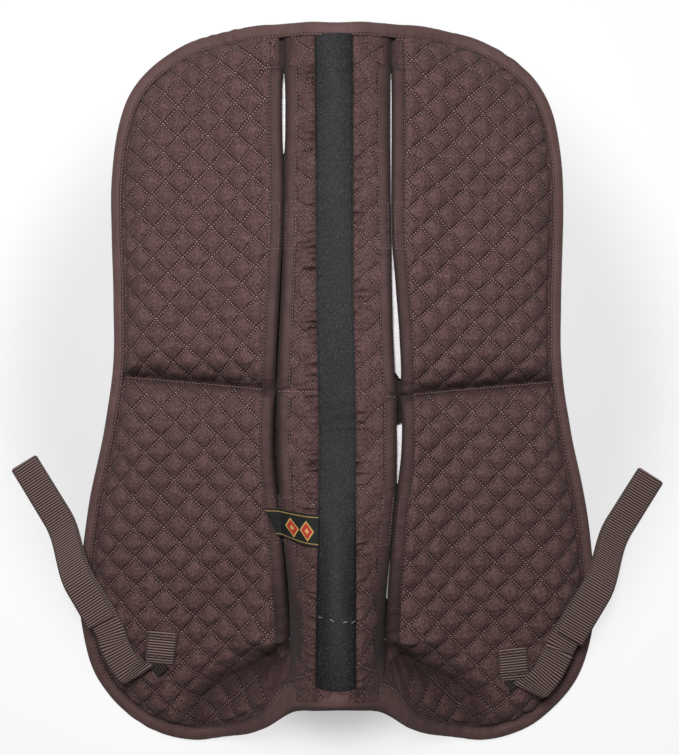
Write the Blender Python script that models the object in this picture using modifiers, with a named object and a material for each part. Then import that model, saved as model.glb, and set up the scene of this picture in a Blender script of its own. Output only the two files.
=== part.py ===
"""Quilted half pad with four memory foam inserts, laid open on a table.

X runs across the pad, Y from the rear to the front and Z up. The spine of the pad is on X = 0.
All sizes are in metres.
"""

import math

import bmesh
import bpy
from mathutils import Matrix, Vector

# Half outline in plan, from the front centre round the right side to the rear centre.
FRONT_NOTCH_Y = 0.2865
FRONT_LOBE_Y = 0.307
SHOULDER_X = 0.197
WAIST_X = 0.1955
HIP_X = 0.2245
REAR_LOBE_Y = -0.307
REAR_NOTCH_Y = -0.234
REAR_LOBE_X = 0.126
OUTLINE_STEPS = 3

# Layers of cloth and foam.
QUILT_PITCH = 0.0265
TUFT = 0.0010
COVER_THICKNESS = 0.0040
LINING_THICKNESS = 0.0025
BAND_THICKNESS = 0.0050
FOAM_THICKNESS = 0.0147
SEAM_THICKNESS = 0.0075
GAP = 0.0004
FACET_ROOM = 0.0010

# How the pad lies: heights above the table.
SLIT_HEIGHT = 0.036
RIDGE_FRONT = 0.062
RIDGE_MIDDLE = 0.045
RIDGE_REAR = 0.101
RIDGE_LOW_FRONT_Y = 0.047
RIDGE_LOW_REAR_Y = -0.033
REAR_RISE = 0.034
ARCH_ROUNDNESS = 1.8
ARCH_FOOT_X = 0.120
PANEL_FALL = 0.065
CROWN_REACH = 0.034

# Slits beside the spine, which are the mouths of the pockets.
SLIT_FRONT_X = 0.0445
SLIT_MIDDLE_X = 0.0515
SLIT_REAR_X = 0.0395
SLIT_MIDDLE_Y = -0.040
SLIT_WIDTH = 0.0045
MOUTH_FRONT_Y = 0.262
MOUTH_REAR_Y = -0.196
SLIT_REAR_Y = -0.212
DIVIDER_Y = -0.002
DIVIDER_HALF = 0.006
FOLD_X = 0.0475
MOUTH_HINGE_X = 0.088
FOLD_LIMIT = 42.0
FLAP_ROOM = 0.0009

# Bindings, tape, webbing and small pieces.
EDGE_BINDING_WIDTH = 0.0120
EDGE_BINDING_HEIGHT = 0.0074
SLIT_BINDING_WIDTH = 0.0115
SLIT_BINDING_HEIGHT = 0.0050
TAPE_WIDTH = 0.0300
TAPE_THICKNESS = 0.0010
CLOSURE_WIDTH = 0.0240
CLOSURE_LENGTH = 0.0380
CLOSURE_THICKNESS = 0.0010
FRONT_CLOSURE_Y = 0.132
REAR_CLOSURE_Y = -0.110
FOAM_INSET = 0.016
WEBBING_WIDTH = 0.0250
WEBBING_THICKNESS = 0.0016
WEBBING_LAYER_GAP = 0.0006
ANCHOR_SIZE = 0.0255
LABEL_LENGTH = 0.0440
LABEL_WIDTH = 0.0240
LABEL_THICKNESS = 0.0008
LABEL_Y = -0.114

# Each strap: anchor centre, turn, overlap edge and far end in plan, and the anchor's turn in degrees.
STRAPS = {
    "left": {"anchor": (-0.1485, -0.2203), "tilt": -7.0, "turn": (-0.1650, -0.2450),
             "overlap": (-0.1955, -0.1960), "end": (-0.2740, -0.0690)},
    "right": {"anchor": (0.1484, -0.2343), "tilt": 4.5, "turn": (0.1590, -0.2570),
              "overlap": (0.1920, -0.2095), "end": (0.2740, -0.0800)},
}

# Colours, roughness and metallic value of each finish.
FINISHES = {
    "quilted_cotton": ((0.090, 0.054, 0.052, 1.0), 0.85, 0.0),
    "lining_cotton": ((0.075, 0.045, 0.043, 1.0), 0.90, 0.0),
    "binding_cotton": ((0.082, 0.045, 0.044, 1.0), 0.80, 0.0),
    "memory_foam": ((0.780, 0.770, 0.750, 1.0), 0.95, 0.0),
    "spine_tape": ((0.020, 0.020, 0.021, 1.0), 0.65, 0.0),
    "webbing": ((0.075, 0.050, 0.047, 1.0), 0.70, 0.0),
    "hook_and_loop": ((0.040, 0.026, 0.025, 1.0), 0.95, 0.0),
    "woven_label": ((0.018, 0.018, 0.018, 1.0), 0.60, 0.0),
}

SIDES = {"left": -1, "right": 1}


def clear_scene():
    """Removes every object, so that the script starts from an empty scene."""
    for thing in list(bpy.data.objects):
        bpy.data.objects.remove(thing, do_unlink=True)


def collection(name):
    """A new collection under the scene's own."""
    made = bpy.data.collections.new(name)
    bpy.context.scene.collection.children.link(made)
    return made


def finish(name):
    """The material of one finish, made on first use."""
    found = bpy.data.materials.get(name)
    if found:
        return found
    colour, roughness, metallic = FINISHES[name]
    made = bpy.data.materials.new(name)
    made.use_nodes = True
    shader = made.node_tree.nodes["Principled BSDF"]
    shader.inputs["Base Color"].default_value = colour
    shader.inputs["Roughness"].default_value = roughness
    shader.inputs["Metallic"].default_value = metallic
    made.diffuse_color = colour
    return made


def ease(t):
    """Smooth step from 0 to 1 as t goes from 0 to 1."""
    t = min(max(t, 0.0), 1.0)
    return t * t * (3.0 - 2.0 * t)


def through(points, steps):
    """A smooth open line through the points: a Catmull-Rom spline with so many steps a span."""
    line = []
    last = len(points) - 1
    for i in range(last):
        p0 = Vector(points[max(i - 1, 0)])
        p1 = Vector(points[i])
        p2 = Vector(points[i + 1])
        p3 = Vector(points[min(i + 2, last)])
        for k in range(steps):
            t = k / steps
            line.append(0.5 * (2 * p1 + (p2 - p0) * t + (2 * p0 - 5 * p1 + 4 * p2 - p3) * t * t
                               + (3 * p1 - p0 - 3 * p2 + p3) * t ** 3))
    line.append(Vector(points[last]))
    return line


def half_outline():
    """The right half of the pad's edge in plan, front centre to rear centre."""
    lobe_x = 0.52 * SHOULDER_X
    points = [
        (0.0, FRONT_NOTCH_Y),
        (0.23 * SHOULDER_X, 0.62 * FRONT_LOBE_Y + 0.38 * FRONT_NOTCH_Y),
        (lobe_x, FRONT_LOBE_Y),
        (0.76 * SHOULDER_X, FRONT_LOBE_Y - 0.0195),
        (0.934 * SHOULDER_X, FRONT_LOBE_Y - 0.0585),
        (SHOULDER_X, FRONT_LOBE_Y - 0.1265),
        (WAIST_X, 0.076),
        (WAIST_X + 0.0005, 0.017),
        (0.70 * WAIST_X + 0.30 * HIP_X, -0.041),
        (0.26 * WAIST_X + 0.74 * HIP_X, -0.103),
        (HIP_X - 0.0005, -0.163),
        (HIP_X - 0.0015, REAR_LOBE_Y + 0.102),
        (0.81 * HIP_X + 0.19 * REAR_LOBE_X, REAR_LOBE_Y + 0.052),
        (0.43 * HIP_X + 0.57 * REAR_LOBE_X, REAR_LOBE_Y + 0.015),
        (REAR_LOBE_X, REAR_LOBE_Y),
        (REAR_LOBE_X - 0.036, REAR_LOBE_Y + 0.009),
        (REAR_LOBE_X - 0.066, 0.55 * REAR_LOBE_Y + 0.45 * REAR_NOTCH_Y),
        (0.25 * REAR_LOBE_X, 0.20 * REAR_LOBE_Y + 0.80 * REAR_NOTCH_Y),
        (0.0, REAR_NOTCH_Y),
    ]
    before = (-points[1][0], points[1][1])
    after = (-points[-2][0], points[-2][1])
    return through([before] + points + [after], OUTLINE_STEPS)[OUTLINE_STEPS:-OUTLINE_STEPS]


def inset(line, distance):
    """The line moved to its right by distance, which is inwards on the half outline."""
    moved = []
    for i, point in enumerate(line):
        along = line[min(i + 1, len(line) - 1)] - line[max(i - 1, 0)]
        if i in (0, len(line) - 1):
            along = Vector((along.x, 0.0))
        along.normalize()
        moved.append(point + Vector((along.y, -along.x)) * distance)
    return moved


def crossing(line, x, from_rear):
    """Index and point where the half outline first crosses x, seen from the front or the rear."""
    order = range(len(line) - 1)
    for i in reversed(order) if from_rear else order:
        a, b = line[i], line[i + 1]
        if (a.x - x) * (b.x - x) <= 0 and a.x != b.x:
            return i, a + (b - a) * ((x - a.x) / (b.x - a.x))
    raise ValueError("the outline does not reach that width")


def stretch(line, x_front, x_rear):
    """The part of the half outline from x_front at the front edge to x_rear at the rear edge."""
    first, start = crossing(line, x_front, False)
    last, end = crossing(line, x_rear, True)
    return [start] + [p for p in line[first + 1:last + 1] if (p - start).length > 0.002
                      and (p - end).length > 0.002] + [end]


def edge_to(line, x, from_rear):
    """The part of the half outline between the centre line and x, starting at the centre."""
    index, point = crossing(line, x, from_rear)
    part = line[index + 1:][::-1] if from_rear else line[:index + 1]
    return [p for p in part if (p - point).length > 0.002] + [point]


def distance_to(line, x, y):
    """The shortest distance in plan from a point to a line."""
    here = Vector((x, y))
    best = 1.0
    for a, b in zip(line, line[1:]):
        along = b - a
        share = min(max((here - a).dot(along) / along.length_squared, 0.0), 1.0)
        best = min(best, (here - a - along * share).length)
    return best


FULL_THICKNESS = COVER_THICKNESS + FOAM_THICKNESS + LINING_THICKNESS + 2 * GAP
OUTLINE = half_outline()
COVER_EDGE = inset(OUTLINE, EDGE_BINDING_WIDTH + GAP)


def slit_x(y):
    """Half the distance between the two slits."""
    if y > SLIT_MIDDLE_Y:
        share = ease((y - SLIT_MIDDLE_Y) / (0.62 * MOUTH_FRONT_Y - SLIT_MIDDLE_Y))
        return SLIT_MIDDLE_X + (SLIT_FRONT_X - SLIT_MIDDLE_X) * share
    share = ease((SLIT_MIDDLE_Y - y) / (SLIT_MIDDLE_Y - SLIT_REAR_Y))
    return SLIT_MIDDLE_X + (SLIT_REAR_X - SLIT_MIDDLE_X) * share


def rear_seam():
    """The seam that closes the rear pocket, from the end of the slit to the rear edge."""
    start = Vector((slit_x(SLIT_REAR_Y) + SLIT_WIDTH / 2, SLIT_REAR_Y))
    end = crossing(COVER_EDGE, ARCH_FOOT_X + 0.004, True)[1]
    foot = Vector((ARCH_FOOT_X - 0.002, end.y + 0.026))
    points = [start]
    for share, dip in ((0.14, 0.0045), (0.46, 0.0010), (0.75, -0.0010)):
        points.append(start + (foot - start) * share - Vector((0.0, dip)))
    return points + [foot, end]


REAR_SEAM = rear_seam()
FRONT_SEAM_Y = crossing(COVER_EDGE, slit_x(FRONT_NOTCH_Y) + SLIT_WIDTH / 2, False)[1].y


def seam_distance(x, y):
    """Distance from a point of a panel to the nearest seam that closes its pockets."""
    x = abs(x)
    divider = abs(y - DIVIDER_Y) - 0.3 * DIVIDER_HALF
    return max(min(distance_to(COVER_EDGE, x, y), distance_to(REAR_SEAM, x, y), divider), 0.0)


def pocket_thickness(x, y):
    """Thickness of a panel: thin at its seams, and crowned to the full foam between them."""
    share = 1.0 - (1.0 - min(seam_distance(x, y) / CROWN_REACH, 1.0)) ** 2.2
    return SEAM_THICKNESS + (FULL_THICKNESS - SEAM_THICKNESS) * share


def slit_base(y):
    """Underside of a panel beside the slit: it rises where the panel is thin, half as much
    at the divider seam, which draws in both sides alike. Ahead of the front seam it stays level."""
    thin = FULL_THICKNESS - pocket_thickness(slit_x(y) + SLIT_WIDTH / 2, min(y, FRONT_SEAM_Y))
    share = 0.5 if abs(y - DIVIDER_Y) < 1.4 * CROWN_REACH else 1.0
    return SLIT_HEIGHT - FULL_THICKNESS + share * thin


def panel_base(x, y):
    """Underside of a panel: flat on the table outside, lifted towards the spine."""
    return slit_base(y) * (1.0 - ease((abs(x) - slit_x(y)) / PANEL_FALL))


def panel_top(x, y):
    """Upper side of a panel, without the tufts."""
    return panel_base(x, y) + pocket_thickness(x, y)


def ridge(y):
    """Height of the spine above the table."""
    if y > RIDGE_LOW_FRONT_Y:
        share = ease((y - RIDGE_LOW_FRONT_Y) / (FRONT_NOTCH_Y - RIDGE_LOW_FRONT_Y))
        return RIDGE_MIDDLE + (RIDGE_FRONT - RIDGE_MIDDLE) * share
    share = ease((RIDGE_LOW_REAR_Y - y) / (RIDGE_LOW_REAR_Y - REAR_NOTCH_Y))
    return RIDGE_MIDDLE + (RIDGE_REAR - RIDGE_MIDDLE) * share


def band_edge_height(y):
    """Height of the long edges of the spine band."""
    return SLIT_HEIGHT + REAR_RISE * ease((SLIT_REAR_Y - y) / 0.048)


def band_top(x, y):
    """Upper side of the spine band: an arch from one slit over the spine to the other."""
    edge = band_edge_height(y)
    share = min(abs(x) / slit_x(y), 1.0)
    return edge + (ridge(y) - edge) * (1.0 - share ** ARCH_ROUNDNESS)


def skirt_top(x, y):
    """Upper side of the rear skirt, which falls from the spine band to the table."""
    inner = slit_x(y)
    share = min(max((abs(x) - inner) / (ARCH_FOOT_X - inner), 0.0), 1.0)
    arch = SEAM_THICKNESS + (band_edge_height(y) - SEAM_THICKNESS) * (1.0 - share) ** 1.6
    valley = panel_base(x, y) + SEAM_THICKNESS
    rise = ease(distance_to(REAR_SEAM, abs(x), y) / 0.022)
    return valley + (arch - valley) * rise


def edge_top(x, y):
    """Height of the pad's upper side just inside its outer edge."""
    if abs(x) <= slit_x(y):
        return band_top(x, y)
    if y < 0 and abs(x) < ARCH_FOOT_X:
        return skirt_top(x, y)
    return panel_base(x, y) + SEAM_THICKNESS


def lower(surface, depth):
    """A surface that lies so deep below another."""
    return lambda x, y: surface(x, y) - depth


def mesh_object(name, mesh, home, material=None):
    """A new object for a mesh, linked to a collection."""
    made = bpy.data.objects.new(name, mesh)
    if material:
        mesh.materials.clear()
        mesh.materials.append(finish(material))
    home.objects.link(made)
    return made


def prism(name, outline, low=-0.05, high=0.25):
    """A cutter: a flat outline extruded from low to high, welded into one closed mesh."""
    curve = bpy.data.curves.new(name, "CURVE")
    curve.dimensions = "2D"
    curve.fill_mode = "BOTH"
    curve.extrude = (high - low) / 2
    spline = curve.splines.new("POLY")
    spline.points.add(len(outline) - 1)
    for point, place in zip(spline.points, outline):
        point.co = (place[0], place[1], 0.0, 1.0)
    spline.use_cyclic_u = True
    flat = bpy.data.objects.new(name + "_curve", curve)
    CUTTERS.objects.link(flat)
    flat.location.z = (high + low) / 2
    bpy.context.view_layer.update()
    solid = as_mesh(flat)
    made = mesh_object(name, solid, CUTTERS)
    made.hide_render = True
    made.display_type = "WIRE"
    return made


def as_mesh(curve_object):
    """The mesh of a curve object in world space, welded, facing outwards; the curve is removed."""
    depsgraph = bpy.context.evaluated_depsgraph_get()
    mesh = bpy.data.meshes.new_from_object(curve_object.evaluated_get(depsgraph))
    mesh.transform(curve_object.matrix_world)
    work = bmesh.new()
    work.from_mesh(mesh)
    bmesh.ops.remove_doubles(work, verts=work.verts, dist=0.00001)
    bmesh.ops.recalc_face_normals(work, faces=work.faces)
    work.to_mesh(mesh)
    work.free()
    bpy.data.objects.remove(curve_object, do_unlink=True)
    return mesh


def lattice(region):
    """A grid of diamonds at the quilt's pitch that covers a region in plan."""
    reach = max(abs(p[0]) + abs(p[1]) for p in region) + 2 * QUILT_PITCH
    count = 2 * math.ceil(reach / QUILT_PITCH)
    work = bmesh.new()
    half = count * QUILT_PITCH / 2
    bmesh.ops.create_grid(work, x_segments=count, y_segments=count, size=half / math.sqrt(2))
    turn = Matrix.Rotation(math.radians(45.0), 4, "Z")
    bmesh.ops.transform(work, matrix=turn, verts=work.verts)
    low_x = min(p[0] for p in region) - QUILT_PITCH
    high_x = max(p[0] for p in region) + QUILT_PITCH
    low_y = min(p[1] for p in region) - QUILT_PITCH
    high_y = max(p[1] for p in region) + QUILT_PITCH
    outside = [f for f in work.faces if not (low_x < f.calc_center_median().x < high_x
                                             and low_y < f.calc_center_median().y < high_y)]
    bmesh.ops.delete(work, geom=outside, context="FACES")
    return work


def quilted(name, region, top, bottom, home, material, tufts=None):
    """A draped layer: a slab between two surfaces over a region, with a tuft in each diamond.

    tufts(x, y) is the height of the tufts there; without it the layer is smooth.
    """
    work = lattice(region)
    upper = list(work.faces)
    bmesh.ops.recalc_face_normals(work, faces=upper)
    if upper[0].normal.z < 0:
        bmesh.ops.reverse_faces(work, faces=upper)
    lifted = bmesh.ops.extrude_face_region(work, geom=upper, use_keep_orig=True)
    raised = [g for g in lifted["geom"] if isinstance(g, bmesh.types.BMVert)]
    under = [v for v in work.verts if v not in set(raised)]
    tops = [g for g in lifted["geom"] if isinstance(g, bmesh.types.BMFace)]
    for vert in raised:
        x, y = vert.co.x, vert.co.y
        vert.co.z = top(x, y) - (tufts(x, y) if tufts else 0.0)
    for vert in under:
        vert.co.z = bottom(vert.co.x, vert.co.y)
    for faces, surface in ((tops, top), (upper, bottom)):
        for vert in bmesh.ops.poke(work, faces=faces)["verts"]:
            x, y = vert.co.x, vert.co.y
            vert.co.z = surface(x, y) + (tufts(x, y) if tufts and faces is tops else 0.0)
    bmesh.ops.recalc_face_normals(work, faces=work.faces)
    mesh = bpy.data.meshes.new(name)
    work.to_mesh(mesh)
    work.free()
    made = mesh_object(name, mesh, home, material)
    cut(made, prism(name + "_outline", region), "INTERSECT")
    return made


def cut(target, cutter, operation="DIFFERENCE"):
    """Adds an exact Boolean to a part."""
    step = target.modifiers.new(cutter.name, "BOOLEAN")
    step.operation = operation
    step.solver = "EXACT"
    step.object = cutter
    return step


def merge_flat(target):
    """Merges the facets of a layer that lie in one plane."""
    step = target.modifiers.new("flat facets", "DECIMATE")
    step.decimate_type = "DISSOLVE"
    step.angle_limit = math.radians(0.5)


def section(name, width, height, corner):
    """A closed flat curve: a strip's cross-section with cut corners."""
    w, h = width / 2, height / 2
    points = [(w - corner, -h), (w, -h + corner), (w, h - corner), (w - corner, h),
              (corner - w, h), (-w, h - corner), (-w, corner - h), (corner - w, -h)]
    curve = bpy.data.curves.new(name, "CURVE")
    curve.dimensions = "2D"
    spline = curve.splines.new("POLY")
    spline.points.add(len(points) - 1)
    for point, place in zip(spline.points, points):
        point.co = (place[0], place[1], 0.0, 1.0)
    spline.use_cyclic_u = True
    made = bpy.data.objects.new(name, curve)
    CUTTERS.objects.link(made)
    made.hide_render = True
    made.display_type = "WIRE"
    return made


def swept(name, plan, width, height, home, material, drape, corner=0.3):
    """A strip of constant section, swept along a plan line and draped over a surface.

    drape(x, y) is the height of the middle of the strip; corner is the share of the height
    that is cut off its long edges.
    """
    shape = section(name + "_section", width, height, corner * height)
    curve = bpy.data.curves.new(name, "CURVE")
    curve.dimensions = "3D"
    curve.twist_mode = "Z_UP"
    curve.bevel_mode = "OBJECT"
    curve.bevel_object = shape
    curve.use_fill_caps = True
    spline = curve.splines.new("POLY")
    spline.points.add(len(plan) - 1)
    for point, place in zip(spline.points, plan):
        point.co = (place[0], place[1], 0.0, 1.0)
    line = bpy.data.objects.new(name + "_line", curve)
    CUTTERS.objects.link(line)
    bpy.context.view_layer.update()
    mesh = as_mesh(line)
    bpy.data.objects.remove(shape, do_unlink=True)
    for vert in mesh.vertices:
        vert.co.z += drape(vert.co.x, vert.co.y)
    made = mesh_object(name, mesh, home, material)
    mesh.shade_smooth()
    mesh.set_sharp_from_angle(angle=math.radians(50.0))
    return made


def mirrored(points, side):
    """Plan points moved to the left or the right side."""
    return [Vector((side * p[0], *p[1:])) for p in points]


def slit_edge(offset, y_from, y_to, steps=14):
    """The plan of a line that follows a slit at an offset."""
    line = []
    for i in range(steps + 1):
        y = y_from + (y_to - y_from) * i / steps
        line.append(Vector((slit_x(y) + offset, y)))
    return line


def front_limit(x):
    """Y of the front edge of the cloth inside the binding, at a distance from the spine."""
    return crossing(COVER_EDGE, x, False)[1].y


def rear_limit(x):
    """Y of the rear edge of the cloth inside the binding, at a distance from the spine."""
    return crossing(COVER_EDGE, x, True)[1].y


MARGIN = SLIT_WIDTH / 2 + SLIT_BINDING_WIDTH + GAP
LIP = SLIT_WIDTH / 2


def quilt_tufts(x, y):
    """Tuft height of the panels, which die out at the seams."""
    return TUFT * ease(seam_distance(x, y) / 0.012)


def band_tufts(x, y):
    """Tuft height of the spine band, which lies flat under the tape."""
    return TUFT * ease((abs(x) - TAPE_WIDTH / 2) / 0.006)


def skirt_tufts(x, y):
    """Tuft height of the rear skirt."""
    return TUFT


def spine_parts(home):
    """The spine band with its bindings and the tape along its ridge."""
    inner = -MARGIN
    front_x = slit_x(FRONT_NOTCH_Y) + inner
    rear_x = slit_x(REAR_LOBE_Y) + inner
    right = slit_edge(inner, front_limit(front_x), rear_limit(rear_x))
    front = edge_to(COVER_EDGE, front_x, False)[:-1]
    rear = edge_to(COVER_EDGE, rear_x, True)[:-1]
    half = front + right + rear[::-1]
    outline = half + [Vector((-p.x, p.y)) for p in half[::-1][1:-1]]
    quilted("spine_band", outline, band_top, lower(band_top, BAND_THICKNESS), home,
            "quilted_cotton", band_tufts)

    w = TAPE_WIDTH / 2
    rear_end = REAR_NOTCH_Y + EDGE_BINDING_WIDTH + 2 * GAP
    front_end = FRONT_NOTCH_Y - EDGE_BINDING_WIDTH - 2 * GAP
    tape = [Vector((w, rear_end)), Vector((w, front_end)), Vector((-w, front_end)),
            Vector((-w, rear_end))]
    quilted("spine_tape", tape, lower(band_top, -GAP - TAPE_THICKNESS), lower(band_top, -GAP), home,
            "spine_tape")

    edge = -(SLIT_WIDTH + SLIT_BINDING_WIDTH) / 2
    over = 0.010
    path = slit_edge(edge, front_limit(slit_x(FRONT_NOTCH_Y) + edge) + over,
                     rear_limit(slit_x(REAR_LOBE_Y) + edge) - over, 26)
    cloth = prism("cloth_outline", COVER_EDGE + mirrored(COVER_EDGE, -1)[::-1][1:-1])
    for name, side in SIDES.items():
        bar = swept("spine_binding_" + name, mirrored(path, side), SLIT_BINDING_WIDTH,
                    SLIT_BINDING_HEIGHT, home, "binding_cotton", lower(band_top, SLIT_BINDING_HEIGHT / 2))
        cut(bar, cloth, "INTERSECT")


def edge_middle(x, y):
    """Height of the middle of the edge binding, which lies on the table at the sides."""
    return max(edge_top(x, y) - EDGE_BINDING_HEIGHT / 2, EDGE_BINDING_HEIGHT / 2)


def edge_bindings(home):
    """The binding round the pad's edge, split where the pad folds and at the feet of the rear arch."""
    middle = inset(OUTLINE, EDGE_BINDING_WIDTH / 2)
    rear_split = slit_x(REAR_LOBE_Y) - LIP
    over = 0.006
    for name, half in (("front", edge_to(middle, FOLD_X + over, False)),
                       ("rear", edge_to(middle, rear_split + over, True))):
        across = [Vector((-p.x, p.y)) for p in half[::-1][:-1]] + half
        bar = swept("edge_binding_" + name, across, EDGE_BINDING_WIDTH, EDGE_BINDING_HEIGHT, home,
                    "binding_cotton", edge_middle)
        for side in SIDES.values():
            if name == "front":
                cut(bar, wedge(side))
                cut(bar, box("fold_end", side, FOLD_X - GAP / 2, FOLD_X + 0.05, 0.1))
            else:
                cut(bar, box("arch_end", side, rear_split, rear_split + 0.05, -0.4))

    foot, ahead = parting(middle, ARCH_FOOT_X + 0.004)
    side_plan = [p for p in stretch(middle, FOLD_X - over, foot.x) if (p - foot).length > over]
    side_plan += [foot - ahead * over, foot - ahead * GAP / 2]
    arch = [foot + ahead * GAP / 2, foot + ahead * over]
    arch += [p for p in stretch(middle, FOLD_X, rear_split - over)
             if p.y < REAR_NOTCH_Y + 0.01 and p.x < foot.x - over]
    for name, side in SIDES.items():
        bar = swept("edge_binding_" + name, mirrored(side_plan, side), EDGE_BINDING_WIDTH,
                    EDGE_BINDING_HEIGHT, home, "binding_cotton", edge_middle)
        cut(bar, box("fold_start", side, 0.0, FOLD_X + GAP / 2, 0.1))
        bar = swept("arch_binding_" + name, mirrored(arch, side), EDGE_BINDING_WIDTH,
                    EDGE_BINDING_HEIGHT, home, "binding_cotton", edge_middle)
        cut(bar, box("arch_start", side, 0.0, rear_split + GAP, -0.4))


def parting(line, x):
    """The point where a line round the rear lobe crosses x, and the line's direction there."""
    index, point = crossing(line, x, True)
    return point, (line[index + 1] - line[index]).normalized()


def as_cutter(name, work):
    """A hidden cutter from a bmesh, which is freed."""
    mesh = bpy.data.meshes.new(name)
    work.to_mesh(mesh)
    work.free()
    made = mesh_object(name, mesh, CUTTERS)
    made.hide_render = True
    made.display_type = "WIRE"
    return made


def box(name, side, x_from, x_to, y_from, y_size=0.3):
    """A cutter: an upright block between two distances from the spine on one side."""
    work = bmesh.new()
    bmesh.ops.create_cube(work, size=1.0)
    size = Matrix.Diagonal((x_to - x_from, y_size, 0.4, 1.0))
    place = Matrix.Translation((side * (x_from + x_to) / 2, y_from + y_size / 2, 0.1))
    bmesh.ops.transform(work, matrix=place @ size, verts=work.verts)
    return as_cutter(name, work)


def wedge(side):
    """A cutter that slants the end of the front binding from the fold line down and inwards."""
    size = 0.060
    work = bmesh.new()
    bmesh.ops.create_cube(work, size=size)
    turn = Matrix.Rotation(math.radians(side * (FOLD_LIMIT + 3.0)), 4, "Y")
    corner = Matrix.Translation((side * size / 2, 0.0, -size / 2))
    place = Matrix.Translation((side * (FOLD_X - GAP / 2), FRONT_NOTCH_Y, SLIT_HEIGHT + GAP))
    bmesh.ops.transform(work, matrix=place @ turn @ corner, verts=work.verts)
    return as_cutter("fold_wedge", work)


def mouth_spans():
    """The Y range of each pocket's mouth."""
    return {"front": (DIVIDER_Y + DIVIDER_HALF, MOUTH_FRONT_Y),
            "rear": (MOUTH_REAR_Y, DIVIDER_Y - DIVIDER_HALF)}


def panel_region():
    """The plan of one side panel inside the edge binding, from the slit to the rear seam."""
    start_x = slit_x(FRONT_NOTCH_Y) + LIP
    seam = [Vector((p.x, p.y + GAP)) for p in REAR_SEAM[::-1]]
    edge = [p for p in stretch(COVER_EDGE, start_x, REAR_SEAM[-1].x)
            if p.y > seam[0].y + 0.003 or p.x > seam[0].x + 0.003]
    inner = slit_edge(LIP, SLIT_REAR_Y + 0.004, front_limit(start_x) - 0.004, 18)
    return edge + seam + inner


def panel_parts(home, name, side):
    """One side panel: lining, cover, foam inserts, and the strips of cloth at the pocket mouths."""
    region = panel_region()
    lining = quilted("panel_lining_" + name, mirrored(region, side), lower(panel_base, -LINING_THICKNESS),
                     panel_base, home, "lining_cotton")
    merge_flat(lining)
    cover = quilted("panel_cover_" + name, mirrored(region, side), panel_top,
                    lower(panel_top, COVER_THICKNESS), home, "quilted_cotton", quilt_tufts)
    for which, (low, high) in mouth_spans().items():
        inner, outer = FOLD_X - 0.015, MOUTH_HINGE_X + GAP / 2
        mouth = [Vector((inner, low - GAP)), Vector((outer, low - GAP)),
                 Vector((outer, high + GAP)), Vector((inner, high + GAP))]
        cut(cover, prism(f"mouth_{which}_{name}", mirrored(mouth, side)))
        strip = slit_edge(MARGIN, low, high, 10)
        strip += [Vector((MOUTH_HINGE_X - GAP / 2, high)), Vector((MOUTH_HINGE_X - GAP / 2, low))]
        quilted(f"mouth_flap_{which}_{name}", mirrored(strip, side), panel_top,
                lower(panel_top, COVER_THICKNESS), home, "quilted_cotton", quilt_tufts)
        path = slit_edge(LIP + SLIT_BINDING_WIDTH / 2, low, high, 14)
        swept(f"mouth_binding_{which}_{name}", mirrored(path, side), SLIT_BINDING_WIDTH,
              SLIT_BINDING_HEIGHT, home, "binding_cotton", lower(panel_top, SLIT_BINDING_HEIGHT / 2))
        foam = quilted(f"foam_insert_{which}_{name}", mirrored(foam_region(which), side), foam_top,
                       foam_base, home, "memory_foam")
        merge_flat(foam)
        closure(home, which, name, side)
    merge_flat(cover)


def foam_top(x, y):
    """Upper side of a foam insert: under the cover, with room for the mouth's strip to lift, and
    lower where the closures lie by the slit."""
    under_cover = panel_top(x, y) - COVER_THICKNESS - GAP
    by_slit = panel_top(x, y) - SLIT_BINDING_HEIGHT - 2 * CLOSURE_THICKNESS - 5 * GAP
    share = ease((abs(x) - slit_x(y) - SLIT_BINDING_WIDTH) / 0.020)
    room = FLAP_ROOM * (1.0 - ease((abs(x) - MOUTH_HINGE_X - 0.004) / 0.016))
    return max(by_slit + (under_cover - by_slit) * share - room, foam_base(x, y) + 0.001)


def foam_base(x, y):
    """Underside of a foam insert, on the lining."""
    return panel_base(x, y) + LINING_THICKNESS + GAP


def foam_region(which):
    """The plan of a foam insert: its pocket less a margin, up to the edge of the slit."""
    ring = inset(OUTLINE, EDGE_BINDING_WIDTH + FOAM_INSET)
    lip = -0.0005
    if which == "front":
        low = DIVIDER_Y + DIVIDER_HALF + 0.004
        start = crossing(ring, slit_x(MOUTH_FRONT_Y) + 0.008, False)
        outer = [start[1]] + [p for p in ring[start[0] + 2:] if p.y > low + 0.004]
        return outer + [Vector((outer[-1].x, low))] + slit_edge(lip, low, start[1].y - 0.004, 5)
    high = DIVIDER_Y - DIVIDER_HALF - 0.004
    outer = [p for p in ring if p.y < high - 0.004 and p.x > REAR_LOBE_X + 0.022]
    seam = [p for p in inset(REAR_SEAM, -FOAM_INSET) if p.y > outer[-1].y and p.x < outer[-1].x - 0.008]
    inner = slit_edge(lip, seam[0].y + 0.010, high, 5)
    return [Vector((outer[0].x, high))] + outer + seam[::-1] + inner


def closure_middle(x, y):
    """Height of the middle of a loop tab: under the spine band's edge, then under the hook patch."""
    beyond = abs(x) - slit_x(y)
    low = panel_top(x, y) - SLIT_BINDING_HEIGHT - CLOSURE_THICKNESS - 2 * GAP
    high = band_top(x, y) - BAND_THICKNESS - 1.5 * GAP - FACET_ROOM
    share = ease(0.5 + beyond / SLIT_WIDTH)
    return high + (low - high) * share - CLOSURE_THICKNESS / 2


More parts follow.
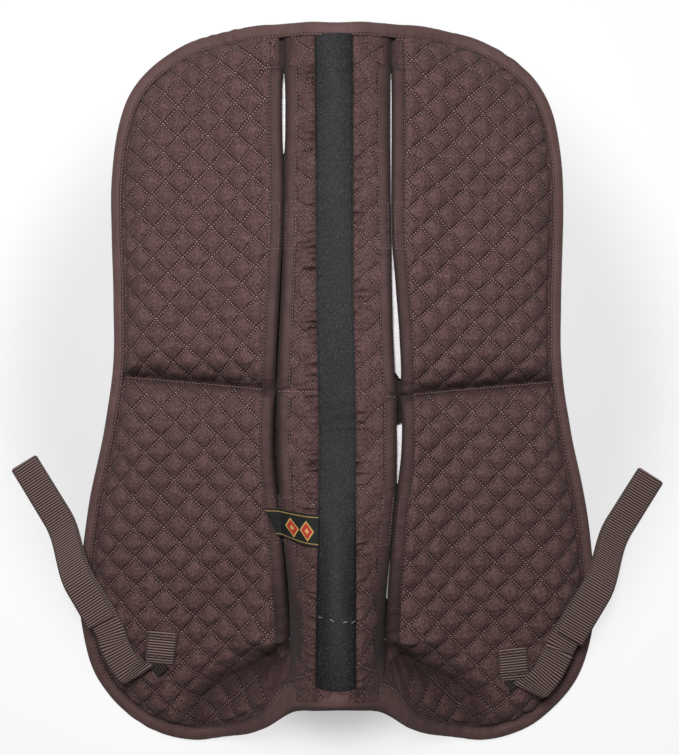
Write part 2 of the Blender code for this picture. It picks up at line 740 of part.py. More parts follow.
def closure(home, which, name, side):
    """Hook patch under the mouth's binding, and the loop tab from the spine band below it."""
    y = FRONT_CLOSURE_Y if which == "front" else REAR_CLOSURE_Y
    low, high = y - CLOSURE_LENGTH / 2, y + CLOSURE_LENGTH / 2
    hook_x = LIP + SLIT_BINDING_WIDTH / 2
    path = slit_edge(hook_x, low, high, 4)
    swept(f"hook_patch_{which}_{name}", mirrored(path, side), SLIT_BINDING_WIDTH - 0.001,
          CLOSURE_THICKNESS, home, "hook_and_loop",
          lower(panel_top, SLIT_BINDING_HEIGHT + GAP + CLOSURE_THICKNESS / 2), 0.0)
    region = slit_edge(CLOSURE_WIDTH / 2 - 0.001, low, high, 2)
    region += slit_edge(-CLOSURE_WIDTH / 2 - 0.001, high, low, 2)
    thick = CLOSURE_THICKNESS / 2
    tab(home, f"loop_tab_{which}_{name}", mirrored(region, side), thick)


def tab(home, name, region, thick):
    """A thin tab over a region in plan, stepped down under the slit."""
    work = bmesh.new()
    low = Vector((min(p.x for p in region), min(p.y for p in region)))
    high = Vector((max(p.x for p in region), max(p.y for p in region)))
    bmesh.ops.create_grid(work, x_segments=10, y_segments=3, size=0.5)
    for vert in work.verts:
        x = low.x + (vert.co.x + 0.5) * (high.x - low.x)
        y = low.y + (vert.co.y + 0.5) * (high.y - low.y)
        vert.co = (x, y, closure_middle(x, y) - thick)
    mesh = bpy.data.meshes.new(name)
    bmesh.ops.recalc_face_normals(work, faces=work.faces)
    work.to_mesh(mesh)
    work.free()
    made = mesh_object(name, mesh, home, "hook_and_loop")
    wall = made.modifiers.new("thickness", "SOLIDIFY")
    wall.thickness = 2 * thick
    wall.offset = 1.0
    wall.use_even_offset = True


def skirt(home, name, side):
    """The quilted cloth behind a rear pocket, which falls from the spine to the rear lobe."""
    inner_x = slit_x(REAR_LOBE_Y) - LIP + GAP
    front = [Vector((inner_x, SLIT_REAR_Y - 0.001))] + [Vector((p.x, p.y)) for p in REAR_SEAM[:-1]]
    last = REAR_SEAM[-1] - Vector((GAP, 0.0))
    arch = [p for p in COVER_EDGE if p.y < REAR_NOTCH_Y and inner_x + 0.003 < p.x < last.x - 0.003]
    rear = [last] + [p for p in arch[::1] if p.y < REAR_NOTCH_Y] + [crossing(COVER_EDGE, inner_x, True)[1]]
    quilted("rear_skirt_" + name, mirrored(front + rear, side), skirt_top,
            lower(skirt_top, BAND_THICKNESS), home, "quilted_cotton", skirt_tufts)


def inside(x, y):
    """Whether a plan point lies on the pad, seen from the strap."""
    level = [a.x + (b.x - a.x) * (y - a.y) / (b.y - a.y) for a, b in zip(OUTLINE, OUTLINE[1:])
             if (a.y - y) * (b.y - y) <= 0 and a.y != b.y]
    return abs(x) < max(level)


def anchor_line(name):
    """The plan of the sewn end of a strap."""
    place = STRAPS[name]
    tilt = Matrix.Rotation(math.radians(place["tilt"]), 2)
    half = tilt @ Vector((0.0, ANCHOR_SIZE / 2))
    middle = Vector(place["anchor"])
    return [middle + half * (1 - i / 3) for i in range(7)]


def strap_line(name):
    """The plan of the free part of a strap, from its turn to its far end."""
    place = STRAPS[name]
    turn, overlap, end = Vector(place["turn"]), Vector(place["overlap"]), Vector(place["end"])
    return through([turn, overlap, overlap + (end - overlap) * 0.5, end], 8)


def strap_level(name):
    """Height of the middle of a strap where it leaves its turn, over the sewn end."""
    near = (*strap_line(name)[:4], *anchor_line(name))
    return max(panel_top(p.x, p.y) for p in near) + TUFT + 2 * GAP + 1.5 * WEBBING_THICKNESS


def strap(home, name):
    """The sewn end of a billet strap, and its free part with the doubled loop at the far end."""
    swept("strap_anchor_" + name, anchor_line(name), WEBBING_WIDTH, WEBBING_THICKNESS, home, "webbing",
          lower(panel_top, -TUFT - GAP - WEBBING_THICKNESS / 2), 0.0)
    plan = strap_line(name)
    edge = next(i for i, p in enumerate(plan) if not inside(p.x, p.y))
    walked = [0.0]
    for a, b in zip(plan, plan[1:]):
        walked.append(walked[-1] + (b - a).length)
    top = strap_level(name)
    table = WEBBING_THICKNESS / 2 + GAP
    lower_layer = []
    for p, s in zip(plan, walked):
        share = ease((s - walked[edge] + 0.022) / 0.058)
        lower_layer.append(Vector((p.x, p.y, top + (table - top) * share)))
    rise = WEBBING_THICKNESS + WEBBING_LAYER_GAP
    bend = lower_layer[-1] + Vector((0.0, 0.0, rise / 2))
    ahead = (lower_layer[-1] - lower_layer[-2]).normalized()
    overlap = Vector(STRAPS[name]["overlap"])
    first = next(i for i, p in enumerate(plan) if (p - overlap).length < 0.002)
    back = [p + Vector((0.0, 0.0, rise)) for p in lower_layer[first:]][::-1]
    webbing_loop(home, "strap_" + name, lower_layer + [bend + ahead * 0.55 * rise] + back)


def webbing_loop(home, name, line):
    """One strip of webbing along a line that may double back: a ribbon given its thickness."""
    work = bmesh.new()
    rows = []
    for i, point in enumerate(line):
        along = line[min(i + 1, len(line) - 1)] - line[max(i - 1, 0)]
        flat = Vector((along.x, along.y, 0.0))
        if flat.length < 0.0005:
            across = rows[-1][2]
        else:
            across = flat.normalized().cross(Vector((0.0, 0.0, 1.0)))
            if rows and across.dot(rows[-1][2]) < 0:
                across = -across
        left = work.verts.new(point - across * WEBBING_WIDTH / 2)
        right = work.verts.new(point + across * WEBBING_WIDTH / 2)
        rows.append((left, right, across))
    for a, b in zip(rows, rows[1:]):
        work.faces.new((a[0], a[1], b[1], b[0]))
    bmesh.ops.recalc_face_normals(work, faces=work.faces)
    mesh = bpy.data.meshes.new(name)
    work.to_mesh(mesh)
    work.free()
    made = mesh_object(name, mesh, home, "webbing")
    wall = made.modifiers.new("thickness", "SOLIDIFY")
    wall.thickness = WEBBING_THICKNESS
    wall.offset = 0.0
    wall.use_even_offset = True
    return made


def label(home):
    """The woven label, sewn under the left edge of the tape and lying over the left slit."""
    start = -(TAPE_WIDTH / 2 + GAP)
    steps = 8
    path = [Vector((start - LABEL_LENGTH * i / steps, LABEL_Y)) for i in range(steps + 1)]
    swept("woven_label", path, LABEL_WIDTH, LABEL_THICKNESS, home, "woven_label",
          lower(band_top, -TUFT - GAP - FACET_ROOM - LABEL_THICKNESS / 2), 0.0)


def mouth_hinge(which):
    """The line on which a mouth's strip of cloth lifts: its middle in Y, at its highest top."""
    low, high = mouth_spans()[which]
    top = max(panel_top(MOUTH_HINGE_X, low + (high - low) * i / 12) for i in range(13))
    return Vector((MOUTH_HINGE_X, (low + high) / 2, top))


def pivot(name, place, parent=None):
    """An empty on a joint's axis, which carries the pieces that turn about it."""
    made = bpy.data.objects.new(name, None)
    made.empty_display_size = 0.02
    PARTS.objects.link(made)
    made.location = place
    if parent:
        made.location = place - parent.location
        made.parent = parent
    bpy.context.view_layer.update()
    return made


def carry(carrier, names):
    """Parents parts to an empty and leaves them where they are."""
    for name in names:
        part = bpy.data.objects[name]
        part.parent = carrier
        part.matrix_parent_inverse = carrier.matrix_world.inverted()


def hang_on_joints():
    """Parents every moving piece to an empty on its joint's axis."""
    for name, side in SIDES.items():
        panel = pivot(name + "_panel", Vector((side * FOLD_X, 0.0, SLIT_HEIGHT)))
        carry(panel, [part + name for part in (
            "panel_lining_", "panel_cover_", "foam_insert_front_", "foam_insert_rear_",
            "edge_binding_", "arch_binding_", "rear_skirt_", "strap_anchor_")])
        for which in mouth_spans():
            place = mouth_hinge(which)
            place.x *= side
            flap = pivot(f"{name}_{which}_mouth", place, panel)
            carry(flap, [f"{part}_{which}_{name}" for part in ("mouth_flap", "mouth_binding", "hook_patch")])
        turn = Vector(STRAPS[name]["turn"])
        billet = pivot(name + "_billet", Vector((*turn, strap_level(name))), panel)
        carry(billet, ["strap_" + name])


def build():
    """Models the whole pad."""
    spine_parts(PARTS)
    edge_bindings(PARTS)
    for name, side in SIDES.items():
        panel_parts(PARTS, name, side)
        skirt(PARTS, name, side)
        strap(PARTS, name)
    label(PARTS)
    hang_on_joints()


clear_scene()
PARTS = collection("memory_foam_half_pad")
CUTTERS = collection("cutters")
build()
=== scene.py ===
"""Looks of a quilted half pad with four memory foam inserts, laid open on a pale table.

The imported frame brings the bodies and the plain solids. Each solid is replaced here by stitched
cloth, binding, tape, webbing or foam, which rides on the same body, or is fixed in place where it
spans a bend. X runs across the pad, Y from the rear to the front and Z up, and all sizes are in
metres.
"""

import logging
import math
from dataclasses import dataclass, field
from enum import Enum
from functools import cached_property
from typing import Any, Callable, Iterator, Sequence

import bpy
import numpy as np
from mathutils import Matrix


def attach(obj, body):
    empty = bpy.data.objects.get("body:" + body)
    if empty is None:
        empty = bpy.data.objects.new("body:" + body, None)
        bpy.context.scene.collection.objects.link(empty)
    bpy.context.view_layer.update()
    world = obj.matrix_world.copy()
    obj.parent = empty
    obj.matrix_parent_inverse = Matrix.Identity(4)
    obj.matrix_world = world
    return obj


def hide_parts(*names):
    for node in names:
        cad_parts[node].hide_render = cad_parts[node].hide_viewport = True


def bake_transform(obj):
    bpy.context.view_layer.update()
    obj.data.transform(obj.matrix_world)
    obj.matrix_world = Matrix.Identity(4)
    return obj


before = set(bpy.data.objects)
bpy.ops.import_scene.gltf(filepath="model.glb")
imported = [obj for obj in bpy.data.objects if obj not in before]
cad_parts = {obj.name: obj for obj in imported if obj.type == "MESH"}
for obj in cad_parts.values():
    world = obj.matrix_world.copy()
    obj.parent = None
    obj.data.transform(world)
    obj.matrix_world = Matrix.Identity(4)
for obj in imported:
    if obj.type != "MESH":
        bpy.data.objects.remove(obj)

Array = np.ndarray
Field = Callable[[Array, Array], Array]
Colour = tuple[float, float, float]
Point = tuple[float, float, float]
Span = tuple[float, float]
Piece = bpy.types.Object
Fabric = bpy.types.Material

LOG = logging.getLogger("half_pad")

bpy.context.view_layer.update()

# The cloth's edge inside the outline, under the slit binding and ahead of the mouths.
CLOTH_INSET = 0.0080
CLOTH_UNDER_LIP = 0.004
CLOTH_FRONT_Y = 0.28
CLOTH_AHEAD = 0.018
BAND_THICKNESS = 0.0042

# Where pieces bend between two bodies: along a mouth, and from the spine out at the rear and front.
MOUTH_BEND = 0.045
ARCH_BEND = (0.040, 0.100)
FRONT_FOLD = (0.040, 0.056)


class Side(Enum):
    """The two sides of the pad, as seen from above with the front at the top."""

    LEFT = -1
    RIGHT = 1

    @property
    def label(self) -> str:
        """The side's word in the names of nodes and bodies."""
        return self.name.lower()

    @property
    def panel(self) -> str:
        """The body that carries this side's panel."""
        return f"{self.label}_panel"


class Pocket(Enum):
    """The two pockets of a side panel."""

    FRONT = "front"
    REAR = "rear"


Half = tuple[Pocket, str, float, float]


def ease(share: Array) -> Array:
    """Smooth step from 0 to 1 as the share goes from 0 to 1: t * t * (3 - 2 * t)."""
    t = np.clip(share, 0.0, 1.0)
    return t * t * (3.0 - 2.0 * t)


def bell(distance: Array, width: float) -> Array:
    """1 at no distance, less on both sides: exp(-(distance / width) ** 2)."""
    return np.exp(-(distance / width) ** 2)


def unit(rows: Array) -> Array:
    """Each row over its length."""
    return rows / np.maximum(np.linalg.norm(rows, axis=1, keepdims=True), 1e-9)


def through(points: Sequence[Sequence[float]], steps: int) -> Array:
    """A smooth open line through points.

    Catmull-Rom: each span is the cubic that leaves and enters its points along the chord of
    their neighbours.

    Args:
        points: The points that the line passes.
        steps: How many pieces each span is cut into.

    Returns:
        The points of the line, one row each.
    """
    given = np.asarray(points, float)
    padded = np.vstack([given[:1], given, given[-1:]])
    t = (np.arange(steps) / steps)[None, :, None]
    p0, p1, p2, p3 = padded[:-3, None], padded[1:-2, None], padded[2:-1, None], padded[3:, None]
    spans = 0.5 * (2 * p1 + (p2 - p0) * t + (2 * p0 - 5 * p1 + 4 * p2 - p3) * t * t
                   + (3 * p1 - p0 - 3 * p2 + p3) * t ** 3)
    return np.vstack([spans.reshape(-1, given.shape[1]), given[-1:]])


def directions(line: Array) -> Array:
    """Unit directions along a line at its points, by central differences."""
    return unit(np.gradient(line, axis=0))


def inset(line: Array, distance: float) -> Array:
    """A plan line moved to its right, which is inwards on the half outline."""
    along = np.empty_like(line)
    along[1:-1] = line[2:] - line[:-2]
    along[0] = (line[1, 0] - line[0, 0], 0.0)
    along[-1] = (line[-1, 0] - line[-2, 0], 0.0)
    along = unit(along)
    return line + np.stack([along[:, 1], -along[:, 0]], 1) * distance


def walked(line: Array) -> Array:
    """Distance walked along a line up to each of its points."""
    return np.concatenate([[0.0], np.cumsum(np.linalg.norm(np.diff(line, axis=0), axis=1))])


def at_run(line: Array, run: Array, at: Array) -> Array:
    """What a line's rows say at distances walked along it."""
    return np.stack([np.interp(at, run, line[:, k]) for k in range(line.shape[1])], -1)


def resampled(line: Array, spacing: float) -> Array:
    """The same line with points at an even spacing."""
    run = walked(line)
    count = max(int(math.ceil(run[-1] / spacing)), 2)
    return at_run(line, run, np.linspace(0.0, run[-1], count + 1))


def crossing(line: Array, x: float, from_rear: bool = False) -> tuple[int, Array]:
    """Where the half outline first crosses a distance from the spine.

    Args:
        line: The half outline, from the front centre to the rear centre.
        x: The distance from the spine.
        from_rear: Whether the search starts at the rear.

    Returns:
        The index of the point before the crossing, and the crossing.
    """
    hits = np.nonzero((line[:-1, 0] - x) * (line[1:, 0] - x) <= 0)[0]
    i = int(hits[-1] if from_rear else hits[0])
    a, b = line[i], line[i + 1]
    return i, a + (b - a) * ((x - a[0]) / (b[0] - a[0]))


def nearest(line: Array, x: Array, y: Array, batch: int = 20000) -> tuple[Array, Array]:
    """The nearest point of a plan line to each point.

    Each point is dropped on every segment, held between its ends, and the shortest drop wins.

    Args:
        line: The line's points.
        x: Places across.
        y: Places along.
        batch: How many places are worked out at once.

    Returns:
        The distances, and the nearest points with one row each.
    """
    a, along = line[:-1], np.diff(line, axis=0)
    lengths = np.maximum((along ** 2).sum(1), 1e-12)
    flat = np.stack([np.ravel(x), np.ravel(y)], 1)
    distance, place = np.empty(len(flat)), np.empty((len(flat), 2))
    for start in range(0, len(flat), batch):
        here = flat[start:start + batch, None, :]
        share = np.clip(((here - a) * along).sum(2) / lengths, 0.0, 1.0)
        foot = a + share[..., None] * along
        gaps = ((here - foot) ** 2).sum(2)
        best = gaps.argmin(1)
        rows = np.arange(len(best))
        distance[start:start + batch] = np.sqrt(gaps[rows, best])
        place[start:start + batch] = foot[rows, best]
    return distance.reshape(np.shape(x)), place


def inside(polygon: Array, x: Array, y: Array) -> Array:
    """Which points lie in a closed polygon: a ray to the right crosses it an odd number of times."""
    found = np.zeros(np.shape(x), bool)
    for (ax, ay), (bx, by) in zip(polygon, np.roll(polygon, -1, axis=0)):
        if ay != by:
            hit = (ay > y) != (by > y)
            found ^= hit & (x < ax + (y - ay) * (bx - ax) / (by - ay))
    return found


def waves(x: Array, y: Array, length: float, seed: int, count: int = 9) -> Array:
    """Smooth unevenness from about -1 to 1: a sum of sine waves in directions drawn from a seed.

    Args:
        x: Places across.
        y: Places along.
        length: The mean wavelength.
        seed: The number that fixes the draw.
        count: How many waves are summed.

    Returns:
        The height of the sum at each place.
    """
    draw = np.random.default_rng(seed)
    turn = draw.uniform(0.0, 2.0 * np.pi, count)
    pitch = 2.0 * np.pi / (length * draw.uniform(0.7, 1.4, count))
    phase = draw.uniform(0.0, 2.0 * np.pi, count)
    total = np.zeros(np.shape(x))
    for angle, k, start in zip(turn, pitch, phase):
        total = total + np.sin(k * (np.cos(angle) * x + np.sin(angle) * y) + start)
    return total / math.sqrt(count / 2.0) / 1.6


def settle(made: Piece, slot: str, *bodies: str, bend: Sequence[Point] = (),
           stands_for: str = "", fill: float | None = None) -> None:
    """Hangs a piece on its body, or fixes it in place where it has a bend, and hides the solid it replaces.

    Args:
        made: The piece.
        slot: What it is made of; not used.
        bodies: The body that it hangs on, where it has no bend.
        bend: Where a bend would start and end; with one, the piece is only fixed in place.
        stands_for: The plain solid that it replaces, where there is one.
        fill: How full it is, for a padded piece; not used.
    """
    if bend:
        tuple(bend[0])
        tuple(bend[1])
        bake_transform(made)
    else:
        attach(made, bodies[0])
    if stands_for:
        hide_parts(stands_for)


def across_bend(side: Side, low: float, high: float) -> tuple[Point, Point]:
    """The start and end of a bend between two distances from the spine."""
    return (side.value * low, 0.0, 0.0), (side.value * high, 0.0, 0.0)


@dataclass(frozen=True)
class PadShape:
    """How the pad lies: its plan lines and the heights of its layers, for whole arrays of points."""

    front_notch_y: float = 0.2900
    front_lobe_y: float = 0.307
    shoulder_x: float = 0.197
    waist_x: float = 0.1955
    hip_x: float = 0.2245
    rear_lobe_y: float = -0.3095
    rear_notch_y: float = -0.2390
    rear_lobe_x: float = 0.126
    seam_thickness: float = 0.0075
    full_thickness: float = 0.0220
    slit_height: float = 0.036
    ridge_front: float = 0.062
    ridge_middle: float = 0.045
    ridge_rear: float = 0.101
    arch_foot_x: float = 0.120
    panel_fall: float = 0.065
    crown_reach: float = 0.034
    slit_front_x: float = 0.0445
    slit_middle_x: float = 0.0515
    slit_rear_x: float = 0.0395
    slit_middle_y: float = -0.040
    lip: float = 0.00225
    mouth_front_y: float = 0.262
    mouth_rear_y: float = -0.196
    slit_rear_y: float = -0.212
    divider_y: float = -0.002
    divider_half: float = 0.006
    divider_inner: float = -0.002
    divider_outer: float = -0.002
    hinge_x: float = 0.088
    edge_width: float = 0.0120
    edge_height: float = 0.0074
    slit_binding: float = 0.0115

    def half_outline(self, steps: int) -> Array:
        """The right half of the pad's edge in plan, from the front centre to the rear centre."""
        fl, fn, s, w = self.front_lobe_y, self.front_notch_y, self.shoulder_x, self.waist_x
        h, rl, rn, rx = self.hip_x, self.rear_lobe_y, self.rear_notch_y, self.rear_lobe_x
        points = [
            (0.0, fn), (0.23 * s, 0.62 * fl + 0.38 * fn), (0.52 * s, fl), (0.76 * s, fl - 0.0195),
            (0.934 * s, fl - 0.0585), (s, fl - 0.1265), (w, 0.076), (w + 0.0005, 0.017),
            (0.70 * w + 0.30 * h, -0.041), (0.26 * w + 0.74 * h, -0.103), (h - 0.0005, -0.163),
            (h - 0.0010, rl + 0.102), (0.81 * h + 0.19 * rx + 0.003, rl + 0.053),
            (0.43 * h + 0.57 * rx + 0.003, rl + 0.0145), (rx, rl), (rx - 0.036, rl + 0.009),
            (rx - 0.066, 0.59 * rl + 0.41 * rn), (0.25 * rx, 0.17 * rl + 0.83 * rn), (0.0, rn),
        ]
        before, after = (-points[1][0], points[1][1]), (-points[-2][0], points[-2][1])
        return through([before, *points, after], steps)[steps:-steps]

    @cached_property
    def outline(self) -> Array:
        """The half outline in fine steps."""
        return self.half_outline(8)

    @cached_property
    def cloth_edge(self) -> Array:
        """The line of the edge binding's stitching, in the solids' coarse steps."""
        return inset(self.half_outline(3), self.edge_width + 0.0004)

    @cached_property
    def rear_seam(self) -> Array:
        """The seam that closes the rear pocket, from the end of the slit to the rear edge."""
        start = np.array([self.slit_at(self.slit_rear_y) + self.lip, self.slit_rear_y])
        end = crossing(self.cloth_edge, self.arch_foot_x + 0.004, True)[1]
        foot = np.array([self.arch_foot_x - 0.002, end[1] + 0.026])
        between = [start + (foot - start) * share - (0.0, dip)
                   for share, dip in ((0.14, 0.0045), (0.46, 0.0010), (0.75, -0.0010))]
        return np.vstack([start, *between, foot, end])

    def slit_x(self, y: Array) -> Array:
        """Half the distance between the two slits."""
        middle = self.slit_middle_y
        ahead = ease((y - middle) / (0.62 * self.mouth_front_y - middle))
        behind = ease((middle - y) / (middle - self.slit_rear_y))
        return (self.slit_middle_x + (self.slit_front_x - self.slit_middle_x) * ahead
                + (self.slit_rear_x - self.slit_middle_x) * behind)

    def slit_at(self, y: float) -> float:
        """Half the distance between the two slits at one place along."""
        return float(self.slit_x(np.array(y)))

    def past_slit(self, x: Array, y: Array) -> Array:
        """Distance outwards from the slit."""
        return np.abs(x) - self.slit_x(y)

    def edge_distance(self, x: Array, y: Array) -> Array:
        """Distance to the outer binding's stitching: positive on the cloth, negative beyond it."""
        line = self.cloth_edge
        held = inside(np.vstack([[-1.0, line[0, 1]], line, [-1.0, line[-1, 1]]]), np.abs(x), y)
        return np.where(held, 1.0, -1.0) * nearest(line, np.abs(x), y)[0]

    def rear_seam_distance(self, x: Array, y: Array) -> Array:
        """Distance to the seam that closes the rear pocket."""
        return nearest(self.rear_seam, np.abs(x), y)[0]

    def divider(self, x: Array) -> Array:
        """Y of the seam between the pockets, which leans a little across the panel."""
        share = np.clip((np.abs(x) - 0.047) / 0.140, 0.0, 1.1)
        return self.divider_inner + (self.divider_outer - self.divider_inner) * share

    def past_divider(self, x: Array, y: Array) -> Array:
        """Distance ahead of the seam between the pockets."""
        return y - self.divider(x)

    def thickness(self, x: Array, y: Array) -> Array:
        """Thickness of a panel: thin at its seams, and crowned to the full foam between them."""
        divider = np.abs(self.past_divider(x, y)) - 0.3 * self.divider_half
        edge = np.minimum(self.edge_distance(x, y), self.rear_seam_distance(x, y))
        seam = np.maximum(np.minimum(edge, divider), 0.0)
        share = 1.0 - (1.0 - np.minimum(seam / self.crown_reach, 1.0)) ** 2.2
        return self.seam_thickness + (self.full_thickness - self.seam_thickness) * share

    @cached_property
    def _slit_heights(self) -> tuple[Array, Array]:
        """Underside of a panel beside the slit, sampled along the slit once."""
        y = np.linspace(self.rear_lobe_y - 0.01, self.front_lobe_y + 0.01, 1300)
        thin = self.full_thickness - self.thickness(self.slit_x(y) + self.lip, y)
        share = np.where(np.abs(y - self.divider_inner) < 1.4 * self.crown_reach, 0.5, 1.0)
        return y, self.slit_height - self.full_thickness + share * thin

    def panel_base(self, x: Array, y: Array) -> Array:
        """Underside of a panel: flat on the table outside, lifted towards the spine."""
        rise = np.interp(y, *self._slit_heights)
        return rise * (1.0 - ease(self.past_slit(x, y) / self.panel_fall))

    def panel_top(self, x: Array, y: Array) -> Array:
        """Upper side of a panel, without its quilting."""
        return self.panel_base(x, y) + self.thickness(x, y)

    def band_edge(self, y: Array) -> Array:
        """Height of the long edges of the spine band."""
        return self.slit_height + 0.034 * ease((self.slit_rear_y - y) / 0.048)

    def band_top(self, x: Array, y: Array) -> Array:
        """Upper side of the spine band: an arch from one slit over the spine to the other."""
        ahead = ease((y - 0.047) / (self.front_notch_y - 0.047))
        behind = ease((-0.033 - y) / (-0.033 - self.rear_notch_y))
        ridge = (self.ridge_middle + (self.ridge_front - self.ridge_middle) * ahead
                 + (self.ridge_rear - self.ridge_middle) * behind)
        edge = self.band_edge(y)
        share = np.minimum(np.abs(x) / self.slit_x(y), 1.0)
        return edge + (ridge - edge) * (1.0 - share ** (1.8 + 0.7 * ease((-0.15 - y) / 0.06)))

    def skirt_top(self, x: Array, y: Array) -> Array:
        """Upper side of the rear skirt, which falls from the spine band to the table."""
        inner = self.slit_x(y)
        share = np.clip((np.abs(x) - inner) / (self.arch_foot_x - inner), 0.0, 1.0)
        arch = self.seam_thickness + (self.band_edge(y) - self.seam_thickness) * (1.0 - share) ** 1.6
        valley = self.panel_base(x, y) + self.seam_thickness
        return valley + (arch - valley) * ease(self.rear_seam_distance(x, y) / 0.022)

    def edge_top(self, x: Array, y: Array) -> Array:
        """Height of the pad's upper side just inside its outer edge."""
        beside = np.where((y < 0) & (np.abs(x) < self.arch_foot_x), self.skirt_top(x, y),
                          self.panel_base(x, y) + self.seam_thickness)
        return np.where(np.abs(x) <= self.slit_x(y), self.band_top(x, y), beside)

    def edge_middle(self, x: Array, y: Array) -> Array:
        """Height of the middle of the edge binding.

        It is the mean of the stitching's height at seven places within 14 mm; over the rear arch
        most of the surface's own slope is added.
        """
        arch = 0.75 * ease((0.100 - np.abs(x)) / 0.03) * (y < -0.15)
        tops = []
        for aside in np.linspace(-0.014, 0.014, 7):
            across = x + aside * (1.0 - ease((np.abs(x) - 0.065) / 0.030))
            place = nearest(self.cloth_edge, np.abs(across), y)[1]
            top = self.edge_top(place[:, 0], place[:, 1]).reshape(np.shape(x))
            tops.append(top + (self.edge_top(across, y) - top) * arch)
        return np.maximum(np.mean(tops, axis=0) - self.edge_height / 2, self.edge_height / 2)

    def mouth(self, pocket: Pocket) -> Span:
        """The Y range of a pocket's mouth."""
        if pocket is Pocket.FRONT:
            return self.divider_y + self.divider_half, self.mouth_front_y
        return self.mouth_rear_y, self.divider_y - self.divider_half

    def slit_edge(self, offset: float, y_from: float, y_to: float, spacing: float = 0.002) -> Array:
        """A plan line that follows the right slit at an offset."""
        y = np.linspace(y_from, y_to, max(int(abs(y_to - y_from) / spacing), 2) + 1)
        return np.stack([self.slit_x(y) + offset, y], 1)

    def covered(self, level: Array, relief: Array, x: Array, y: Array) -> Array:
        """A cloth's upper side, whose relief is pressed flat under the outer binding."""
        clear = ease((self.edge_distance(x, y) - 0.0005) / 0.006)
        return level - 0.0005 - 0.0008 * (1.0 - clear) + relief * clear


SHAPES = {Side.LEFT: PadShape(divider_inner=-0.0045, divider_outer=0.0075),
          Side.RIGHT: PadShape(divider_inner=-0.0090, divider_outer=0.0030)}
SHAPE = SHAPES[Side.RIGHT]

GAP_STATIONS = {
    Side.LEFT: ((-0.212, -0.204, -0.180, -0.150, -0.115, -0.090, -0.057, -0.030, -0.010, -0.004, 0.006,
                 0.040, 0.090, 0.130, 0.160, 0.185, 0.195, 0.210, 0.235, 0.250, 0.262),
                (0.0, 0.5, 2.4, 2.0, 0.8, 2.2, 4.0, 3.4, 2.4, 0.8, 2.0,
                 1.8, 1.2, 0.6, 0.3, 0.5, 1.4, 2.6, 2.9, 2.2, 0.4)),
    Side.RIGHT: ((-0.212, -0.204, -0.192, -0.175, -0.158, -0.130, -0.110, -0.090, -0.079, -0.060, -0.038,
                  -0.020, -0.009, 0.004, 0.012, 0.050, 0.090, 0.108, 0.120, 0.150, 0.180, 0.210, 0.240,
                  0.256, 0.262),
                 (0.0, 0.5, 1.2, 1.4, 1.0, 0.4, 0.3, 0.6, 1.2, 3.4, 4.4,
                  4.6, 2.6, 4.6, 5.4, 5.0, 2.8, 1.1, 0.3, 0.4, 0.9, 1.3, 1.3,
                  0.9, 0.2)),
}


def slit_gap(side: Side, y: Array) -> Array:
    """How far a slit stands open along its length, as it lies in the photograph."""
    stations, millimetres = GAP_STATIONS[side]
    closed = ease((y - 0.2625) / 0.002)
    return np.interp(y, stations, millimetres) / 1000.0 * (1.0 - closed) + 0.0001 * closed


@dataclass(frozen=True)
class Quilting:
    """Two families of stitched lines that cut the cloth into diamonds, with a pillow in each."""

    pitch: float = 0.0178
    up_angle: float = 43.5
    down_angle: float = 47.5
    start: Span = (0.35, 0.10)
    wobble: float = 0.0010
    rise: float = 0.0045
    seed: int = 3

    @cached_property
    def _turn(self) -> Array:
        """The two normals of the line families over the pitch, one row each."""
        a, b = math.radians(self.up_angle), math.radians(self.down_angle)
        return np.array([[-math.sin(a), math.cos(a)], [math.sin(b), math.cos(b)]]) / self.pitch

    def _sway(self, x: Array, y: Array) -> tuple[Array, Array]:
        """How far the hand-guided lines stray from straight ones."""
        return (self.wobble * waves(x, y, 0.090, self.seed),
                self.wobble * waves(x, y, 0.090, self.seed + 1))

    def cells(self, x: Array, y: Array) -> tuple[Array, Array]:
        """Both line coordinates of a plan point; a stitched line runs where one is a whole number."""
        dx, dy = self._sway(x, y)
        flat = self._turn @ np.stack([np.ravel(x - dx), np.ravel(y - dy)])
        return (flat[0].reshape(np.shape(x)) + self.start[0],
                flat[1].reshape(np.shape(x)) + self.start[1])

    def places(self, u: Array, v: Array) -> tuple[Array, Array]:
        """The plan points of line coordinates: the straight lattice, then its sway in three rounds."""
        lines = np.stack([np.ravel(u) - self.start[0], np.ravel(v) - self.start[1]])
        x0, y0 = (row.reshape(np.shape(u)) for row in np.linalg.inv(self._turn) @ lines)
        x, y = x0, y0
        for _ in range(3):
            dx, dy = self._sway(x, y)
            x, y = x0 + dx, y0 + dy
        return x, y

    def pillow(self, x: Array, y: Array) -> Array:
        """Height of the quilting: 0 on a stitched line, and crowned to the rise between lines.

        Each family gives a softened |sin(pi * u)|, and the product to the power 0.85 is the crown.
        """
        crowns = [(np.sqrt(np.sin(np.pi * c) ** 2 + 0.0064) - 0.08) / 0.9232 for c in self.cells(x, y)]
        return self.rise * (crowns[0] * crowns[1]) ** 0.85


